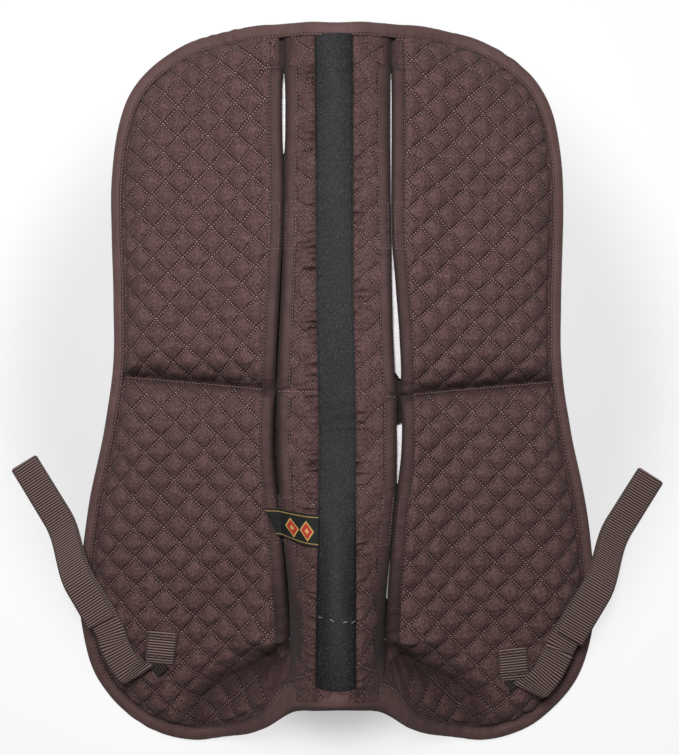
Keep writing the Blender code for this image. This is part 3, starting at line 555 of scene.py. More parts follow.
def mesh_object(name: str, points: Array, faces: Array, material: Fabric,
                uv: Array | None = None, normals: Array | None = None) -> Piece:
    """A mesh of four-cornered faces as an object at the origin.

    Args:
        name: The object's name.
        points: Places of the corners, one row each.
        faces: Rows of four indices, counter-clockwise from outside.
        material: The finish.
        uv: Two coordinates for each point.
        normals: A normal for each corner of each face, or None for smooth shading.

    Returns:
        The object.
    """
    mesh = bpy.data.meshes.new(name)
    mesh.vertices.add(len(points))
    mesh.vertices.foreach_set("co", np.ascontiguousarray(points, np.float32).ravel())
    mesh.loops.add(faces.size)
    mesh.loops.foreach_set("vertex_index", np.ascontiguousarray(faces, np.int32).ravel())
    mesh.polygons.add(len(faces))
    mesh.polygons.foreach_set("loop_start", np.arange(0, faces.size, 4, dtype=np.int32))
    mesh.polygons.foreach_set("loop_total", np.full(len(faces), 4, np.int32))
    mesh.update(calc_edges=True)
    if uv is not None:
        layer = mesh.uv_layers.new(name="run")
        layer.data.foreach_set("uv", np.ascontiguousarray(uv[faces.ravel()], np.float32).ravel())
    mesh.materials.append(material)
    mesh.shade_smooth()
    if normals is not None:
        mesh.normals_split_custom_set(normals.reshape(-1, 3).tolist())
    made = bpy.data.objects.new(name, mesh)
    bpy.context.scene.collection.objects.link(made)
    return made


def keep_share(made: Piece, word: str, values: Array) -> None:
    """Keeps a number at each point of a piece, for its material to read."""
    held = made.data.attributes.new(word, "FLOAT", "POINT")
    held.data.foreach_set("value", values.ravel().astype(np.float32))


def closed_sheet(quads: Array, count: int, place: Array) -> tuple[Array, Array, Array]:
    """The faces of two copies of a grid, joined by a wall along every edge of one cell only.

    Args:
        quads: The upper copy's cells.
        count: How many points a copy has.
        place: The points in plan.

    Returns:
        The faces, the cells of the lower copy, and the wall's outward directions in plan.
    """
    edges = quads[:, [0, 1, 1, 2, 2, 3, 3, 0]].reshape(-1, 2)
    _, first, times = np.unique(np.sort(edges, 1), axis=0, return_index=True, return_counts=True)
    rim = edges[first[times == 1]]
    wall = np.column_stack([rim[:, 1], rim[:, 0], rim[:, 0] + count, rim[:, 1] + count])
    under = quads[:, ::-1] + count
    along = unit(place[rim[:, 1]] - place[rim[:, 0]])
    return np.vstack([quads, under, wall]), under, np.stack([along[:, 1], -along[:, 0]], 1)


@dataclass
class Cloth:
    """A quilted or plain layer between two heights over a region in plan.

    Everything is worked out on the right side. The mesh follows the quilting's lattice, in so many
    steps to a diamond, so that its edges run along the stitching. From 0 to 1, "stitched" says how
    far the stitching shows at a place, and "shade" how much painted shade darkens the cloth's colour
    there, in folds and along seams.
    """

    name: str
    side: Side
    region: Array
    top: Field
    bottom: Field
    quilting: Quilting
    steps: int = 14
    stitched: Field = lambda x, y: np.ones_like(x)
    shade: Field = lambda x, y: np.zeros_like(x)

    def _grid(self) -> tuple[Array, Array, Array]:
        """The lattice over the region, with the points just outside it moved onto its outline.

        Returns:
            Plan places as two columns, the cells as rows of four indices, and the line coordinates.
        """
        low, high = self.region.min(0), self.region.max(0)
        corners = self.quilting.cells(np.array([low[0], low[0], high[0], high[0]]),
                                      np.array([low[1], high[1], low[1], high[1]]))
        i, j = (np.arange((math.floor(c.min()) - 1) * self.steps,
                          (math.ceil(c.max()) + 1) * self.steps + 1) for c in corners)
        x, y = self.quilting.places(*np.meshgrid(i / self.steps, j / self.steps, indexing="ij"))
        margin = 0.004
        near = ((x > low[0] - margin) & (x < high[0] + margin)
                & (y > low[1] - margin) & (y < high[1] + margin))
        held = np.zeros(x.shape, bool)
        held[near] = inside(self.region, x[near], y[near])
        index = np.arange(x.size).reshape(x.shape)
        cells = np.stack([index[:-1, :-1], index[1:, :-1], index[1:, 1:], index[:-1, 1:]], -1)
        kept = cells[held.ravel()[cells].any(-1)]
        used, kept = np.unique(kept, return_inverse=True)
        kept = kept.reshape(-1, 4)
        place = np.stack([x.ravel()[used], y.ravel()[used]], 1)
        outside = ~held.ravel()[used]
        ring = np.vstack([self.region, self.region[:1]])
        moved = nearest(ring, place[outside, 0], place[outside, 1])[1]
        gaps = np.linalg.norm(moved[:, None] - self.region[None], axis=2)
        close = gaps.min(1) < 0.45 * self.quilting.pitch / self.steps
        moved[close] = self.region[gaps.argmin(1)[close]]
        place[outside] = moved
        a, b = (place[kept[:, k + 2]] - place[kept[:, k]] for k in (0, 1))
        area = 0.5 * (a[:, 0] * b[:, 1] - a[:, 1] * b[:, 0])
        if np.median(area) < 0:
            kept, area = kept[:, ::-1], -area
        return place, kept[area > 1e-10], np.stack(self.quilting.cells(place[:, 0], place[:, 1]), 1)

    @staticmethod
    def _normals(surface: Field, place: Array, step: float = 0.00025) -> Array:
        """Unit normals of a height: (-dz/dx, -dz/dy, 1), by differences over twice the step."""
        x, y = place[:, 0], place[:, 1]
        slope_x = (surface(x + step, y) - surface(x - step, y)) / (2 * step)
        slope_y = (surface(x, y + step) - surface(x, y - step)) / (2 * step)
        return unit(np.stack([-slope_x, -slope_y, np.ones_like(x)], 1))

    def make(self, material: Fabric) -> Piece:
        """Builds the layer as one closed mesh.

        Args:
            material: The cloth's finish.

        Returns:
            The object, with the line coordinates as its UV map.
        """
        place, quads, lines = self._grid()
        points = np.vstack([np.column_stack([place, surface(place[:, 0], place[:, 1])])
                            for surface in (self.top, self.bottom)])
        up, down = self._normals(self.top, place), -self._normals(self.bottom, place)
        faces, under, out = closed_sheet(quads, len(place), place)
        out = np.repeat(np.column_stack([out, np.zeros(len(out))])[:, None], 4, 1)
        normals = np.concatenate([up[quads], down[under - len(place)], out])
        if self.side is Side.LEFT:
            points[:, 0] *= -1
            faces, normals = faces[:, ::-1], normals[:, ::-1] * (-1, 1, 1)
        made = mesh_object(self.name, points, faces, material, np.vstack([lines, lines]), normals)
        for word, values in (("stitched", self.stitched), ("shade", self.shade)):
            keep_share(made, word, np.tile(values(place[:, 0], place[:, 1]), 2))
        return made


def closed_tube(name: str, points: Array, uv: Array, material: Fabric) -> Piece:
    """A tube from rings of points, closed at both ends by a ring drawn into its middle.

    Args:
        name: The object's name.
        points: Rings by points by three.
        uv: The same by two.
        material: The finish.

    Returns:
        The object, with its faces outwards.
    """
    rows, columns = points.shape[:2]
    ends = [np.repeat(points[k].mean(0)[None], columns, 0) for k in (0, -1)]
    points = np.concatenate([ends[0][None], points, ends[1][None]])
    uv = np.concatenate([uv[:1], uv, uv[-1:]])
    index = np.arange((rows + 2) * columns).reshape(rows + 2, columns)
    after = np.roll(index, -1, axis=1)
    faces = np.stack([index[:-1], after[:-1], after[1:], index[1:]], -1).reshape(-1, 4)
    flat = points.reshape(-1, 3)
    middle = points.mean(1, keepdims=True).repeat(columns, 1).reshape(-1, 3)
    a, b, c = flat[faces[:, 0]], flat[faces[:, 1]], flat[faces[:, 3]]
    facing = (np.cross(b - a, c - a) * (a - middle[faces[:, 0]])).sum(1)
    if np.median(facing) < 0:
        faces = faces[:, ::-1]
    made = mesh_object(name, flat, faces, material, uv.reshape(-1, 2))
    made.data.set_sharp_from_angle(angle=math.radians(70.0))
    return made


def flat_section(half: float, count: int, upper: float, lower: float) -> Array:
    """Closed section of a flat strip, with so many points on each of its two sides."""
    across = np.linspace(-half, half, count)
    return np.vstack([np.stack([across[::-1], np.full(count, upper)], 1),
                      np.stack([across, np.full(count, lower)], 1)])


@dataclass
class Strip:
    """A strip of constant section carried along a plan line and draped over a surface.

    Attributes:
        section: Closed section, rows of (across, up); across is to the left of the path.
        drape: Height of the strip's middle over a plan point.
        start: Distance walked before the path, for the UV map.
        spread: The section's across values at each point of the path.
        pucker: Extra height at (x, y, across) on the upper side.
        swell: Factor on the upper side's height at each Y of the path.
        shade: Painted shade from 0 to 1, which darkens the strip's colour in folds.
        mirror: Whether the section lies to the right of the path.
        stitched_end: The end of the section that the UV map counts from; 0 is the middle.
    """

    name: str
    path: Array
    section: Array
    drape: Field
    start: float = 0.0
    spread: Field | None = None
    pucker: Callable[[Array, Array, Array], Array] | None = None
    swell: Callable[[Array], Array] | None = None
    shade: Field = lambda x, y: np.zeros_like(x)
    mirror: bool = False
    stitched_end: int = 0

    def make(self, material: Fabric) -> Piece:
        """Builds the strip: point (i, j) is path point i moved by section point j, then draped.

        Args:
            material: The finish.

        Returns:
            The object; its UV map holds metres along and metres across.
        """
        run = walked(self.path) + self.start
        ahead = directions(self.path)
        left = np.stack([-ahead[:, 1], ahead[:, 0]], 1) * (-1.0 if self.mirror else 1.0)
        across, up = (np.repeat(self.section[None, :, k], len(run), 0) for k in (0, 1))
        if self.spread is not None:
            across = self.spread(self.path, across)
        x, y = (self.path[:, None, k] + left[:, None, k] * across for k in (0, 1))
        if self.swell is not None:
            up = np.where(up > 0, up * self.swell(self.path[:, 1])[:, None], up)
        if self.pucker is not None:
            up = up + np.where(up > 0, self.pucker(x, y, across), 0.0)
        points = np.stack([x, y, self.drape(x, y) + up], -1)
        if self.stitched_end:
            across = across * self.stitched_end
            across = across.max(1, keepdims=True) - across
        uv = np.stack([np.repeat(run[:, None], up.shape[1], 1), across], -1)
        made = closed_tube(self.name, points, uv, material)
        # The painted shade at each point, kept for the material to darken its colour.
        deep = self.shade(x, y)
        keep_share(made, "shade", np.concatenate([deep[:1], deep, deep[-1:]]))
        return made


@dataclass(frozen=True)
class Stitching:
    """Rows of short thread stitches that lie on the cloth."""

    pitch: float
    length: float
    radius: float
    sink: float = 0.00005

    def make(self, name: str, rows: Sequence[Array], material: Fabric) -> Piece:
        """Lays stitches along rows of points in space.

        Each stitch is a spindle: rings of six points whose radius follows sqrt(1 - t * t).

        Args:
            name: The object's name.
            rows: Lines of points in space.
            material: The thread's finish.

        Returns:
            One object with every stitch.
        """
        middles, ahead = [], []
        for row in rows:
            run = walked(row)
            at = np.arange(self.pitch / 2, run[-1], self.pitch)
            middles.append(at_run(row, run, at))
            ahead.append(at_run(directions(row), run, at))
        middle, way = np.vstack(middles), unit(np.vstack(ahead))
        side = unit(np.cross(way, (0.0, 0.0, 1.0)))
        over = np.cross(side, way)
        t = np.array([-1.0, -0.8, 0.0, 0.8, 1.0])
        radius = self.radius * np.sqrt(np.maximum(1.0 - t * t, 0.02))[:, None]
        turn = np.arange(6) * np.pi / 3
        shape = np.stack(np.broadcast_arrays((t * self.length / 2)[:, None], radius * np.cos(turn),
                                             radius * np.sin(turn)), -1).reshape(-1, 3)
        points = (middle[:, None] + shape[None, :, :1] * way[:, None] + shape[None, :, 1:2] * side[:, None]
                  + (shape[None, :, 2:] - self.sink) * over[:, None])
        ring = np.arange(30).reshape(5, 6)
        after = np.roll(ring, -1, axis=1)
        one = np.stack([ring[:-1], ring[1:], after[1:], after[:-1]], -1).reshape(-1, 4)
        caps = np.array([[0, 1, 2, 3], [0, 3, 4, 5], [27, 26, 25, 24], [24, 29, 28, 27]])
        faces = (np.vstack([one, caps])[None] + 30 * np.arange(len(middle))[:, None, None]).reshape(-1, 4)
        return mesh_object(name, points.reshape(-1, 3), faces, material)


class Wire:
    """A node's output that adds Math nodes when it stands in an expression."""

    def __init__(self, loom: "Loom", socket: bpy.types.NodeSocket) -> None:
        """Keeps the socket and the material it belongs to."""
        self.loom = loom
        self.socket = socket

    def math(self, operation: str, *others: Any) -> "Wire":
        """A Math node on this value and the others, such as SINE or FRACT."""
        return self.loom.node("ShaderNodeMath", dict(enumerate((self, *others))), operation=operation)

    def __add__(self, other: Any) -> "Wire":
        """The sum."""
        return self.math("ADD", other)

    def __sub__(self, other: Any) -> "Wire":
        """The difference."""
        return self.math("SUBTRACT", other)

    def __rsub__(self, other: Any) -> "Wire":
        """The reflected difference."""
        return self.loom.node("ShaderNodeMath", {0: other, 1: self}, operation="SUBTRACT")

    def __mul__(self, other: Any) -> "Wire":
        """The product."""
        return self.math("MULTIPLY", other)

    __radd__ = __add__
    __rmul__ = __mul__

    def __abs__(self) -> "Wire":
        """The value without its sign."""
        return self.math("ABSOLUTE")

    def fade(self, low: float, high: float) -> "Wire":
        """A smooth step: 0 up to low and 1 from high."""
        return self.loom.node("ShaderNodeMapRange", {"Value": self, "From Min": low, "From Max": high},
                              interpolation_type="SMOOTHSTEP")


class Loom:
    """Weaves the nodes of one material."""

    def __init__(self, name: str) -> None:
        """Starts an empty material."""
        self.material = bpy.data.materials.new(name)
        self.material.use_nodes = True
        self.tree = self.material.node_tree
        self.tree.nodes.clear()

    def node(self, kind: str, inputs: dict[Any, Any] | None = None, output: int | str = 0,
             **settings: Any) -> Wire:
        """Adds a node.

        Args:
            kind: The node's type.
            inputs: Values or wires by socket name or index.
            output: Which output is wanted.
            settings: Its settings, which are set first.

        Returns:
            The output as a wire.
        """
        made = self.tree.nodes.new(kind)
        for key, value in settings.items():
            setattr(made, key, value)
        for key, value in (inputs or {}).items():
            socket = made.inputs[key]
            if isinstance(value, Wire):
                self.tree.links.new(value.socket, socket)
            elif isinstance(value, tuple) and len(value) == 3 and socket.type == "RGBA":
                socket.default_value = (*value, 1.0)
            else:
                socket.default_value = value
        return Wire(self, made.outputs[output])

    def run(self) -> tuple[Wire, Wire]:
        """The two numbers of the piece's own UV map."""
        split = self.node("ShaderNodeSeparateXYZ", {"Vector": self.node("ShaderNodeUVMap", uv_map="run")})
        return split, Wire(self, split.socket.node.outputs[1])

    def attribute(self, word: str) -> Wire:
        """A number that is kept at each point of the piece."""
        return self.node("ShaderNodeAttribute", output="Fac", attribute_name=word)

    def place(self) -> Wire:
        """Object coordinates, in metres."""
        return self.node("ShaderNodeTexCoord", output="Object")

    def noise(self, scale: float, detail: float = 2.0, stretch: Point = (1, 1, 1)) -> Wire:
        """Noise from 0 to 1 on object coordinates."""
        at = self.node("ShaderNodeMapping", {"Vector": self.place(), "Scale": stretch})
        return self.node("ShaderNodeTexNoise", {"Vector": at, "Scale": scale, "Detail": detail})

    def length(self, operation: str, *others: Point) -> Wire:
        """The length of the object coordinates after a vector operation."""
        vector = self.node("ShaderNodeVectorMath", dict(enumerate((self.place(), *others))),
                           operation=operation)
        return self.node("ShaderNodeVectorMath", {0: vector}, "Value", operation="LENGTH")

    def blend(self, share: Any, first: Any, second: Any) -> Wire:
        """A colour between two colours."""
        return self.node("ShaderNodeMix", {0: share, 6: first, 7: second}, 2, data_type="RGBA")

    def close(self, shader: Wire) -> Fabric:
        """Leads the shader to the material's output."""
        out = self.tree.nodes.new("ShaderNodeOutputMaterial")
        self.tree.links.new(shader.socket, out.inputs["Surface"])
        return self.material


def tint(colour: Any, factor: float) -> Any:
    """A colour, plain or wired, made lighter or darker by a factor."""
    if isinstance(colour, Wire):
        return colour.loom.node("ShaderNodeVectorMath", {0: colour, "Scale": factor}, operation="SCALE")
    return tuple(min(c * factor, 1.0) for c in colour)


@dataclass(frozen=True)
class Finish:
    """A material with one main colour and a relief; each kind says how it is woven."""

    name: str
    colour: Colour
    roughness: float = 0.8
    gloss: float = 0.5
    sheen: float = 0.0

    def weave(self, loom: Loom) -> tuple[Wire, Wire]:
        """The colour, and the relief in millimetres."""
        raise NotImplementedError

    def shades(self, loom: Loom, share: Wire, dark: float, light: float) -> Wire:
        """The main colour, between a darker and a lighter one."""
        return loom.blend(share, tint(self.colour, dark), tint(self.colour, light))

    def over(self, loom: Loom, base: Wire, share: Wire, factor: float) -> Wire:
        """A colour with a share of the main colour, made lighter or darker, laid over it."""
        return loom.blend(share, base, tint(self.colour, factor))

    def dress(self) -> Fabric:
        """Makes the material."""
        loom = Loom(self.name)
        base, height = self.weave(loom)
        bump = loom.node("ShaderNodeBump", {"Height": height, "Distance": 0.001, "Strength": 1.0})
        return loom.close(loom.node("ShaderNodeBsdfPrincipled", {
            "Base Color": base, "Roughness": self.roughness, "Specular IOR Level": self.gloss,
            "Sheen Weight": self.sheen, "Normal": bump}))


@dataclass(frozen=True)
class Cotton(Finish):
    """Dyed cotton cloth, with the dotted stitching of its quilting."""

    thread: Colour = (0.34, 0.215, 0.20)
    gloss: float = 0.14
    sheen: float = 0.02
    stitches: float = 7.0

    def weave(self, loom: Loom) -> tuple[Wire, Wire]:
        """Grain and soft patches in colour, stitches at whole line coordinates, and painted shade in grooves.
        """
        grain = loom.noise(900.0, 3.0, (1.0, 0.6, 1.0))
        base = self.shades(loom, loom.noise(38.0, 3.0).fade(0.30, 0.70), 0.92, 1.08)
        base = loom.blend(grain.fade(0.34, 0.66), tint(base, 0.60), tint(base, 1.40))
        wrinkle = abs(loom.noise(150.0, 2.0, (1.0, 0.6, 1.0)) - 0.5)
        height = grain * 0.15 + wrinkle * 1.9
        u, v = loom.run()
        shown = loom.attribute("stitched")
        marks, shaded_grooves, puckers = [], [], []
        for across, along in ((u, v), (v, u)):
            off = abs((across + 0.5).math("FRACT") - 0.5)
            beat = along * self.stitches
            marks.append((1.0 - off.fade(0.016, 0.028)) * beat.math("FRACT").math("LESS_THAN", 0.52))
            shaded_grooves.append(1.0 - off.fade(0.020, 0.092))
            puckers.append((beat * 2 * math.pi).math("SINE") * (1.0 - off.fade(0.02, 0.17)))
        mark, shaded_groove = (pair[0].math("MAXIMUM", pair[1]) * shown for pair in (marks, shaded_grooves))
        # Painted shade in the quilting's grooves along the stitched lines.
        base = self.over(loom, base, shaded_groove * 0.88, 0.20)
        base = loom.blend(mark * 0.74, base, self.thread)
        height = height + mark * 0.20 - shaded_groove * 0.50 + (puckers[0] + puckers[1]) * shown * 0.13
        # Painted shade: the kept shade number darkens the cloth in folds and along seams.
        return self.over(loom, base, loom.attribute("shade") * 0.85, 0.20), height


@dataclass(frozen=True)
class Binding(Finish):
    """A folded cotton binding with a line of stitches beside its inner edge."""

    thread: Colour = (0.22, 0.135, 0.13)
    stitch_at: float = 0.0
    # The span across the strip over which painted shade darkens the side that turns under.
    rolled: Span = (0.0110, 0.0150)
    stitches: float = 330.0
    roughness: float = 0.75
    gloss: float = 0.22
    sheen: float = 0.03

    def weave(self, loom: Loom) -> tuple[Wire, Wire]:
        """A fine grain along the strip, stitches at a set distance across, and painted shade in grooves and
        folds.
        """
        along, across = loom.run()
        grain = loom.noise(1500.0, 2.0)
        base = self.shades(loom, loom.noise(55.0, 3.0).fade(0.30, 0.70), 0.88, 1.12)
        base = self.over(loom, base, grain.fade(0.40, 0.75) * 0.22, 1.4)
        off = abs(across - self.stitch_at)
        dash = (along * self.stitches).math("FRACT").math("LESS_THAN", 0.55)
        mark = (1.0 - off.fade(0.00022, 0.00045)) * dash
        shaded_groove = 1.0 - off.fade(0.0004, 0.0012)
        gather = (along * (self.stitches * 2 * math.pi)).math("SINE") * (1.0 - off.fade(0.0003, 0.0030))
        # Painted shade in the groove along the stitching.
        base = self.over(loom, base, shaded_groove * 0.70, 0.28)
        # Painted shade along the stitched edge, in the crevice where the binding meets the cloth.
        base = self.over(loom, base, (1.0 - across.fade(0.0001, 0.0007)) * 0.6, 0.30)
        # Painted shade on the side of the binding that turns under, away from the light.
        base = self.over(loom, base, across.fade(*self.rolled) * 0.65, 0.25)
        base = loom.blend(mark * 0.60, base, self.thread)
        # Painted shade: the kept shade number darkens the binding in folds.
        base = self.over(loom, base, loom.attribute("shade") * 0.85, 0.20)
        wrinkle = abs(loom.noise(210.0, 2.0) - 0.5)
        return base, grain * 0.07 + mark * 0.15 - shaded_groove * 0.45 + gather * 0.08 + wrinkle * 0.9


@dataclass(frozen=True)
class WovenTape(Finish):
    """A black polyester tape: a speckled twill between two plain selvedges."""

    name: str = "black_woven_tape"
    colour: Colour = (0.0035, 0.0035, 0.0038)
    speckle: Colour = (0.038, 0.038, 0.039)
    half_width: float = 0.015
    roughness: float = 0.62
    gloss: float = 0.25

    def weave(self, loom: Loom) -> tuple[Wire, Wire]:
        """Pale flecks of yarn in rows, finer and darker along the selvedges."""
        along, across = loom.run()
        fleck = loom.noise(1300.0, 1.0, (1.0, 0.7, 1.0))
        twill = ((along + across) * (2 * math.pi * 900.0)).math("SINE")
        edge = abs(across).fade(self.half_width - 0.0017, self.half_width - 0.0012)
        share = fleck.fade(0.52, 0.68) * (1.0 - edge * 0.75) * 0.7
        base = self.over(loom, loom.blend(share, self.colour, self.speckle), edge * 0.5, 0.7)
        return base, fleck * 0.16 + twill * 0.04 - edge * 0.12


@dataclass(frozen=True)
class Webbing(Finish):
    """Woven strap webbing with raised ribs across its width."""

    rib_pitch: float = 0.00225
    yarn_pitch: float = 0.0011
    roughness: float = 0.72
    gloss: float = 0.35

    def weave(self, loom: Loom) -> tuple[Wire, Wire]:
        """Ribs are sine waves along the strap, with yarns across them; painted highlight and shade on the
        ribs.
        """
        along, across = loom.run()
        grain = loom.noise(1300.0, 2.0)
        rib = ((along + across * 0.03) * (2 * math.pi / self.rib_pitch)).math("SINE")
        yarn = (across * (2 * math.pi / self.yarn_pitch)).math("SINE")
        edge = abs(across).fade(0.0105, 0.0118)
        # Painted highlight on the rib tops, with pale flecks there, and painted shade between the ribs.
        painted_rib_light = rib.fade(-0.4, 0.9) * (1.0 - edge * 0.6)
        base = self.over(loom, self.shades(loom, painted_rib_light, 0.16, 1.9),
                         grain.fade(0.35, 0.75) * painted_rib_light * 0.3, 2.4)
        return base, rib * (1.0 - edge) * 0.26 + yarn * 0.04 + grain * 0.10


@dataclass(frozen=True)
class Foam(Finish):
    """Pale open-celled memory foam."""

    name: str = "memory_foam"
    colour: Colour = (0.66, 0.64, 0.65)
    roughness: float = 0.95
    gloss: float = 0.15

    def weave(self, loom: Loom) -> tuple[Wire, Wire]:
        """Pores are the dark side of a fine noise, in relief and in colour."""
        pores = loom.noise(900.0, 3.0)
        base = self.shades(loom, loom.noise(30.0, 2.0).fade(0.3, 0.7), 0.93, 1.04)
        return self.over(loom, base, 1.0 - pores.fade(0.30, 0.50), 0.72), pores * 0.4


@dataclass(frozen=True)
class Nap(Finish):
    """The close nap of a hook or loop fastener."""

    name: str = "hook_and_loop"
    colour: Colour = (0.040, 0.026, 0.025)
    roughness: float = 0.95
    sheen: float = 0.2

    def weave(self, loom: Loom) -> tuple[Wire, Wire]:
        """A dense, fine noise raises the loops."""
        loops = loom.noise(1700.0, 2.0)
        return self.shades(loom, loops.fade(0.35, 0.70), 0.55, 1.5), loops * 0.6


@dataclass(frozen=True)
class Thread(Finish):
    """Sewing thread that stands on the cloth."""

    roughness: float = 0.55
    gloss: float = 0.4

    def weave(self, loom: Loom) -> tuple[Wire, Wire]:
        """A twist too fine to see from afar, kept as a light relief."""
        twist = loom.noise(4200.0, 1.0)
        return self.shades(loom, twist, 0.8, 1.2), twist * 0.1


@dataclass(frozen=True)
class LabelWeave(Finish):
    """A black damask label with a plain gold border and two red lozenges, and no words."""

    name: str = "label_weave"
    colour: Colour = (0.007, 0.008, 0.007)
    gold: Colour = (0.50, 0.32, 0.10)
    red: Colour = (0.34, 0.030, 0.022)
    middles: Span = (0.0105, 0.0245)
    border: float = 0.0100
    roughness: float = 0.7
    gloss: float = 0.2

    def weave(self, loom: Loom) -> tuple[Wire, Wire]:
        """The ornament, on the label's own coordinates: metres along and across.

        A lozenge is where |along - middle| + 0.85 * |across + 1 mm| is under its half size.
        """
        along, across = loom.run()
        yarn = loom.noise(1900.0, 1.0, (1.0, 0.4, 1.0))
        base = self.shades(loom, yarn.fade(0.4, 0.7), 1.0, 2.2)
        first, second = (abs(along - middle) for middle in self.middles)
        size = first.math("MINIMUM", second) + abs(across + 0.0010) * 0.85
        for limit, share, colour in ((0.0066, 0.9, self.gold), (0.0054, 1.0, self.red),
                                     (0.0020, 0.9, self.gold)):
            base = loom.blend(size.math("LESS_THAN", limit) * share, base, colour)
        border = abs(abs(across) - self.border).math("LESS_THAN", 0.00035)
        base = loom.blend(border * 0.55, base, self.gold)
        rows = (across * (2 * math.pi / 0.0007)).math("SINE")
        return base, rows * 0.05 + yarn * 0.08


@dataclass(frozen=True)
class Table:
    """The plain pale table top, which shows white to the camera and keeps the pad's shadow."""

    name: str = "pale_table"
    colour: Colour = (0.86, 0.86, 0.86)
    # Painted shadow: the grey that the camera sees round the pad.
    near: Colour = (0.74, 0.74, 0.74)
    # Painted shadow: the darker grey under the rear arch.
    arch: Colour = (0.46, 0.46, 0.46)
    lift: float = 0.82
    reach: Span = (0.30, 0.31)
    arch_reach: Span = (0.060, 0.042)
    arch_y: float = -0.262

    def dress(self) -> Fabric:
        """Makes the material: a diffuse grey, mixed with white light on camera rays only.

        The white is a little greyer round the pad, by the length of (x, y) over the reach: a painted
        shadow. It is greyer still under the rear arch, by the length of (x, y) from the arch's place
        over its own reach: a darker painted shadow.
        """
        loom = Loom(self.name)
        away = loom.length("MULTIPLY", (1 / self.reach[0], 1 / self.reach[1], 0.0))
        # Painted shadow round the pad.
        white = loom.blend(away.fade(0.78, 1.15), self.near, (1.0, 1.0, 1.0))
        beside = loom.length("MULTIPLY_ADD", (1 / self.arch_reach[0], 1 / self.arch_reach[1], 0.0),
                             (0.0, -self.arch_y / self.arch_reach[1], 0.0))
        # Painted shadow under the rear arch.
        white = loom.blend((1.0 - beside.fade(0.5, 1.5)) * 0.75, white, self.arch)
        board = loom.node("ShaderNodeBsdfDiffuse", {"Color": self.colour, "Roughness": 0.0})
        glow = loom.node("ShaderNodeEmission", {"Color": white, "Strength": 1.0})
        rays = loom.node("ShaderNodeLightPath", output="Is Camera Ray")
        return loom.close(loom.node("ShaderNodeMixShader", {0: rays * self.lift, 1: board, 2: glow}))


class Wardrobe:
    """Every finish, made once."""

    def __init__(self) -> None:
        """Makes the materials."""
        quilt, binding = (0.0790, 0.0432, 0.0418), (0.0830, 0.0450, 0.0430)
        self.quilt = Cotton("quilted_cotton", quilt).dress()
        self.lining = Cotton("lining_cotton", (0.080, 0.049, 0.047), thread=(0.15, 0.10, 0.095)).dress()
        self.edge = Binding("edge_binding_cotton", binding, stitch_at=0.0012).dress()
        # The slit bindings are the edge binding's cloth at two thirds of its colour: painted shade for the
        # slits' turned-away edges.
        self.lip = Binding("slit_binding_cotton", tint(binding, 0.66), thread=(0.20, 0.125, 0.12),
                           stitch_at=0.0013, rolled=(0.0052, 0.0110)).dress()
        self.tape = WovenTape().dress()
        self.webbing = Webbing("ribbed_webbing", (0.112, 0.070, 0.064)).dress()
        # A dark copy of the webbing: painted shade for the tuck under the sewn strap end.
        self.folded_webbing = Webbing("folded_webbing", (0.020, 0.012, 0.011)).dress()
        self.foam = Foam().dress()
        self.nap = Nap().dress()
        self.thread = Thread("sewing_thread", (0.23, 0.145, 0.14)).dress()
        self.dark_thread = Thread("dark_thread", (0.035, 0.022, 0.021)).dress()
        self.pale_thread = Thread("pale_loose_thread", (0.42, 0.36, 0.33)).dress()
        self.label = LabelWeave().dress()
        self.table = Table().dress()


EDGE_SECTION = through([(-0.0062, 0.0026), (-0.0061, 0.0038), (-0.0054, 0.0041), (-0.0040, 0.0044),
                        (-0.0012, 0.0051), (0.0020, 0.0047), (0.0046, 0.0032), (0.0060, 0.0004),
                        (0.0050, -0.0026), (0.0020, -0.0037), (-0.0030, -0.0037), (-0.0062, -0.0036)], 3)

LIP_SECTION = through([(0.0059, -0.0016), (0.0059, 0.0024), (0.0052, 0.0030), (0.0034, 0.0036),
                       (0.0006, 0.0044), (-0.0026, 0.0044), (-0.0048, 0.0031), (-0.0057, 0.0010),
                       (-0.0055, -0.0014), (-0.0040, -0.0026), (0.0, -0.0028), (0.0050, -0.0026)], 3)

STRAP_ENDS = {Side.LEFT: (0.1485, -0.2203), Side.RIGHT: (0.1484, -0.2343)}

FOAM_SHOWN = {Side.RIGHT: {Pocket.FRONT: ((-0.006, 0.266),),
                           Pocket.REAR: ((-0.098, -0.030), (-0.194, -0.145))},
              Side.LEFT: {Pocket.FRONT: ((0.178, 0.266),), Pocket.REAR: ()}}


@dataclass
class OnSide:
    """What the pieces on one side of the pad share."""

    side: Side
    wardrobe: Wardrobe

    @property
    def shape(self) -> PadShape:
        """How this side lies."""
        return SHAPES[self.side]

    def mouth_body(self, pocket: Pocket) -> str:
        """The body that lifts beside a pocket's mouth."""
        return f"{self.side.label}_{pocket.value}_mouth"

    def mouth_halves(self) -> Iterator[Half]:
        """Both halves of each mouth: the pocket, the half's word and its Y range."""
        for pocket in Pocket:
            low, high = self.shape.mouth(pocket)
            middle = (low + high) / 2
            yield pocket, "fore", middle, high
            yield pocket, "aft", low, middle

    def settle_half(self, made: Piece, slot: str, node: str, half: Half,
                    fill: float | None = None) -> None:
        """Fixes a piece beside a mouth in place where it would bend up from its sewn end, and hides its
        solid.

        Args:
            made: The piece.
            slot: What it is made of; not used.
            node: The kind of solid that it replaces.
            half: The pocket, the half's word and its Y range.
            fill: How full it is, for a padded piece; not used.
        """
        pocket, word, near, far = half
        y, ahead = (far, far - MOUTH_BEND) if word == "fore" else (near, near + MOUTH_BEND)
        settle(made, slot, self.side.panel, self.mouth_body(pocket), bend=((0.0, y, 0.0), (0.0, ahead, 0.0)),
               stands_for=f"{node}_{pocket.value}_{self.side.label}", fill=fill)


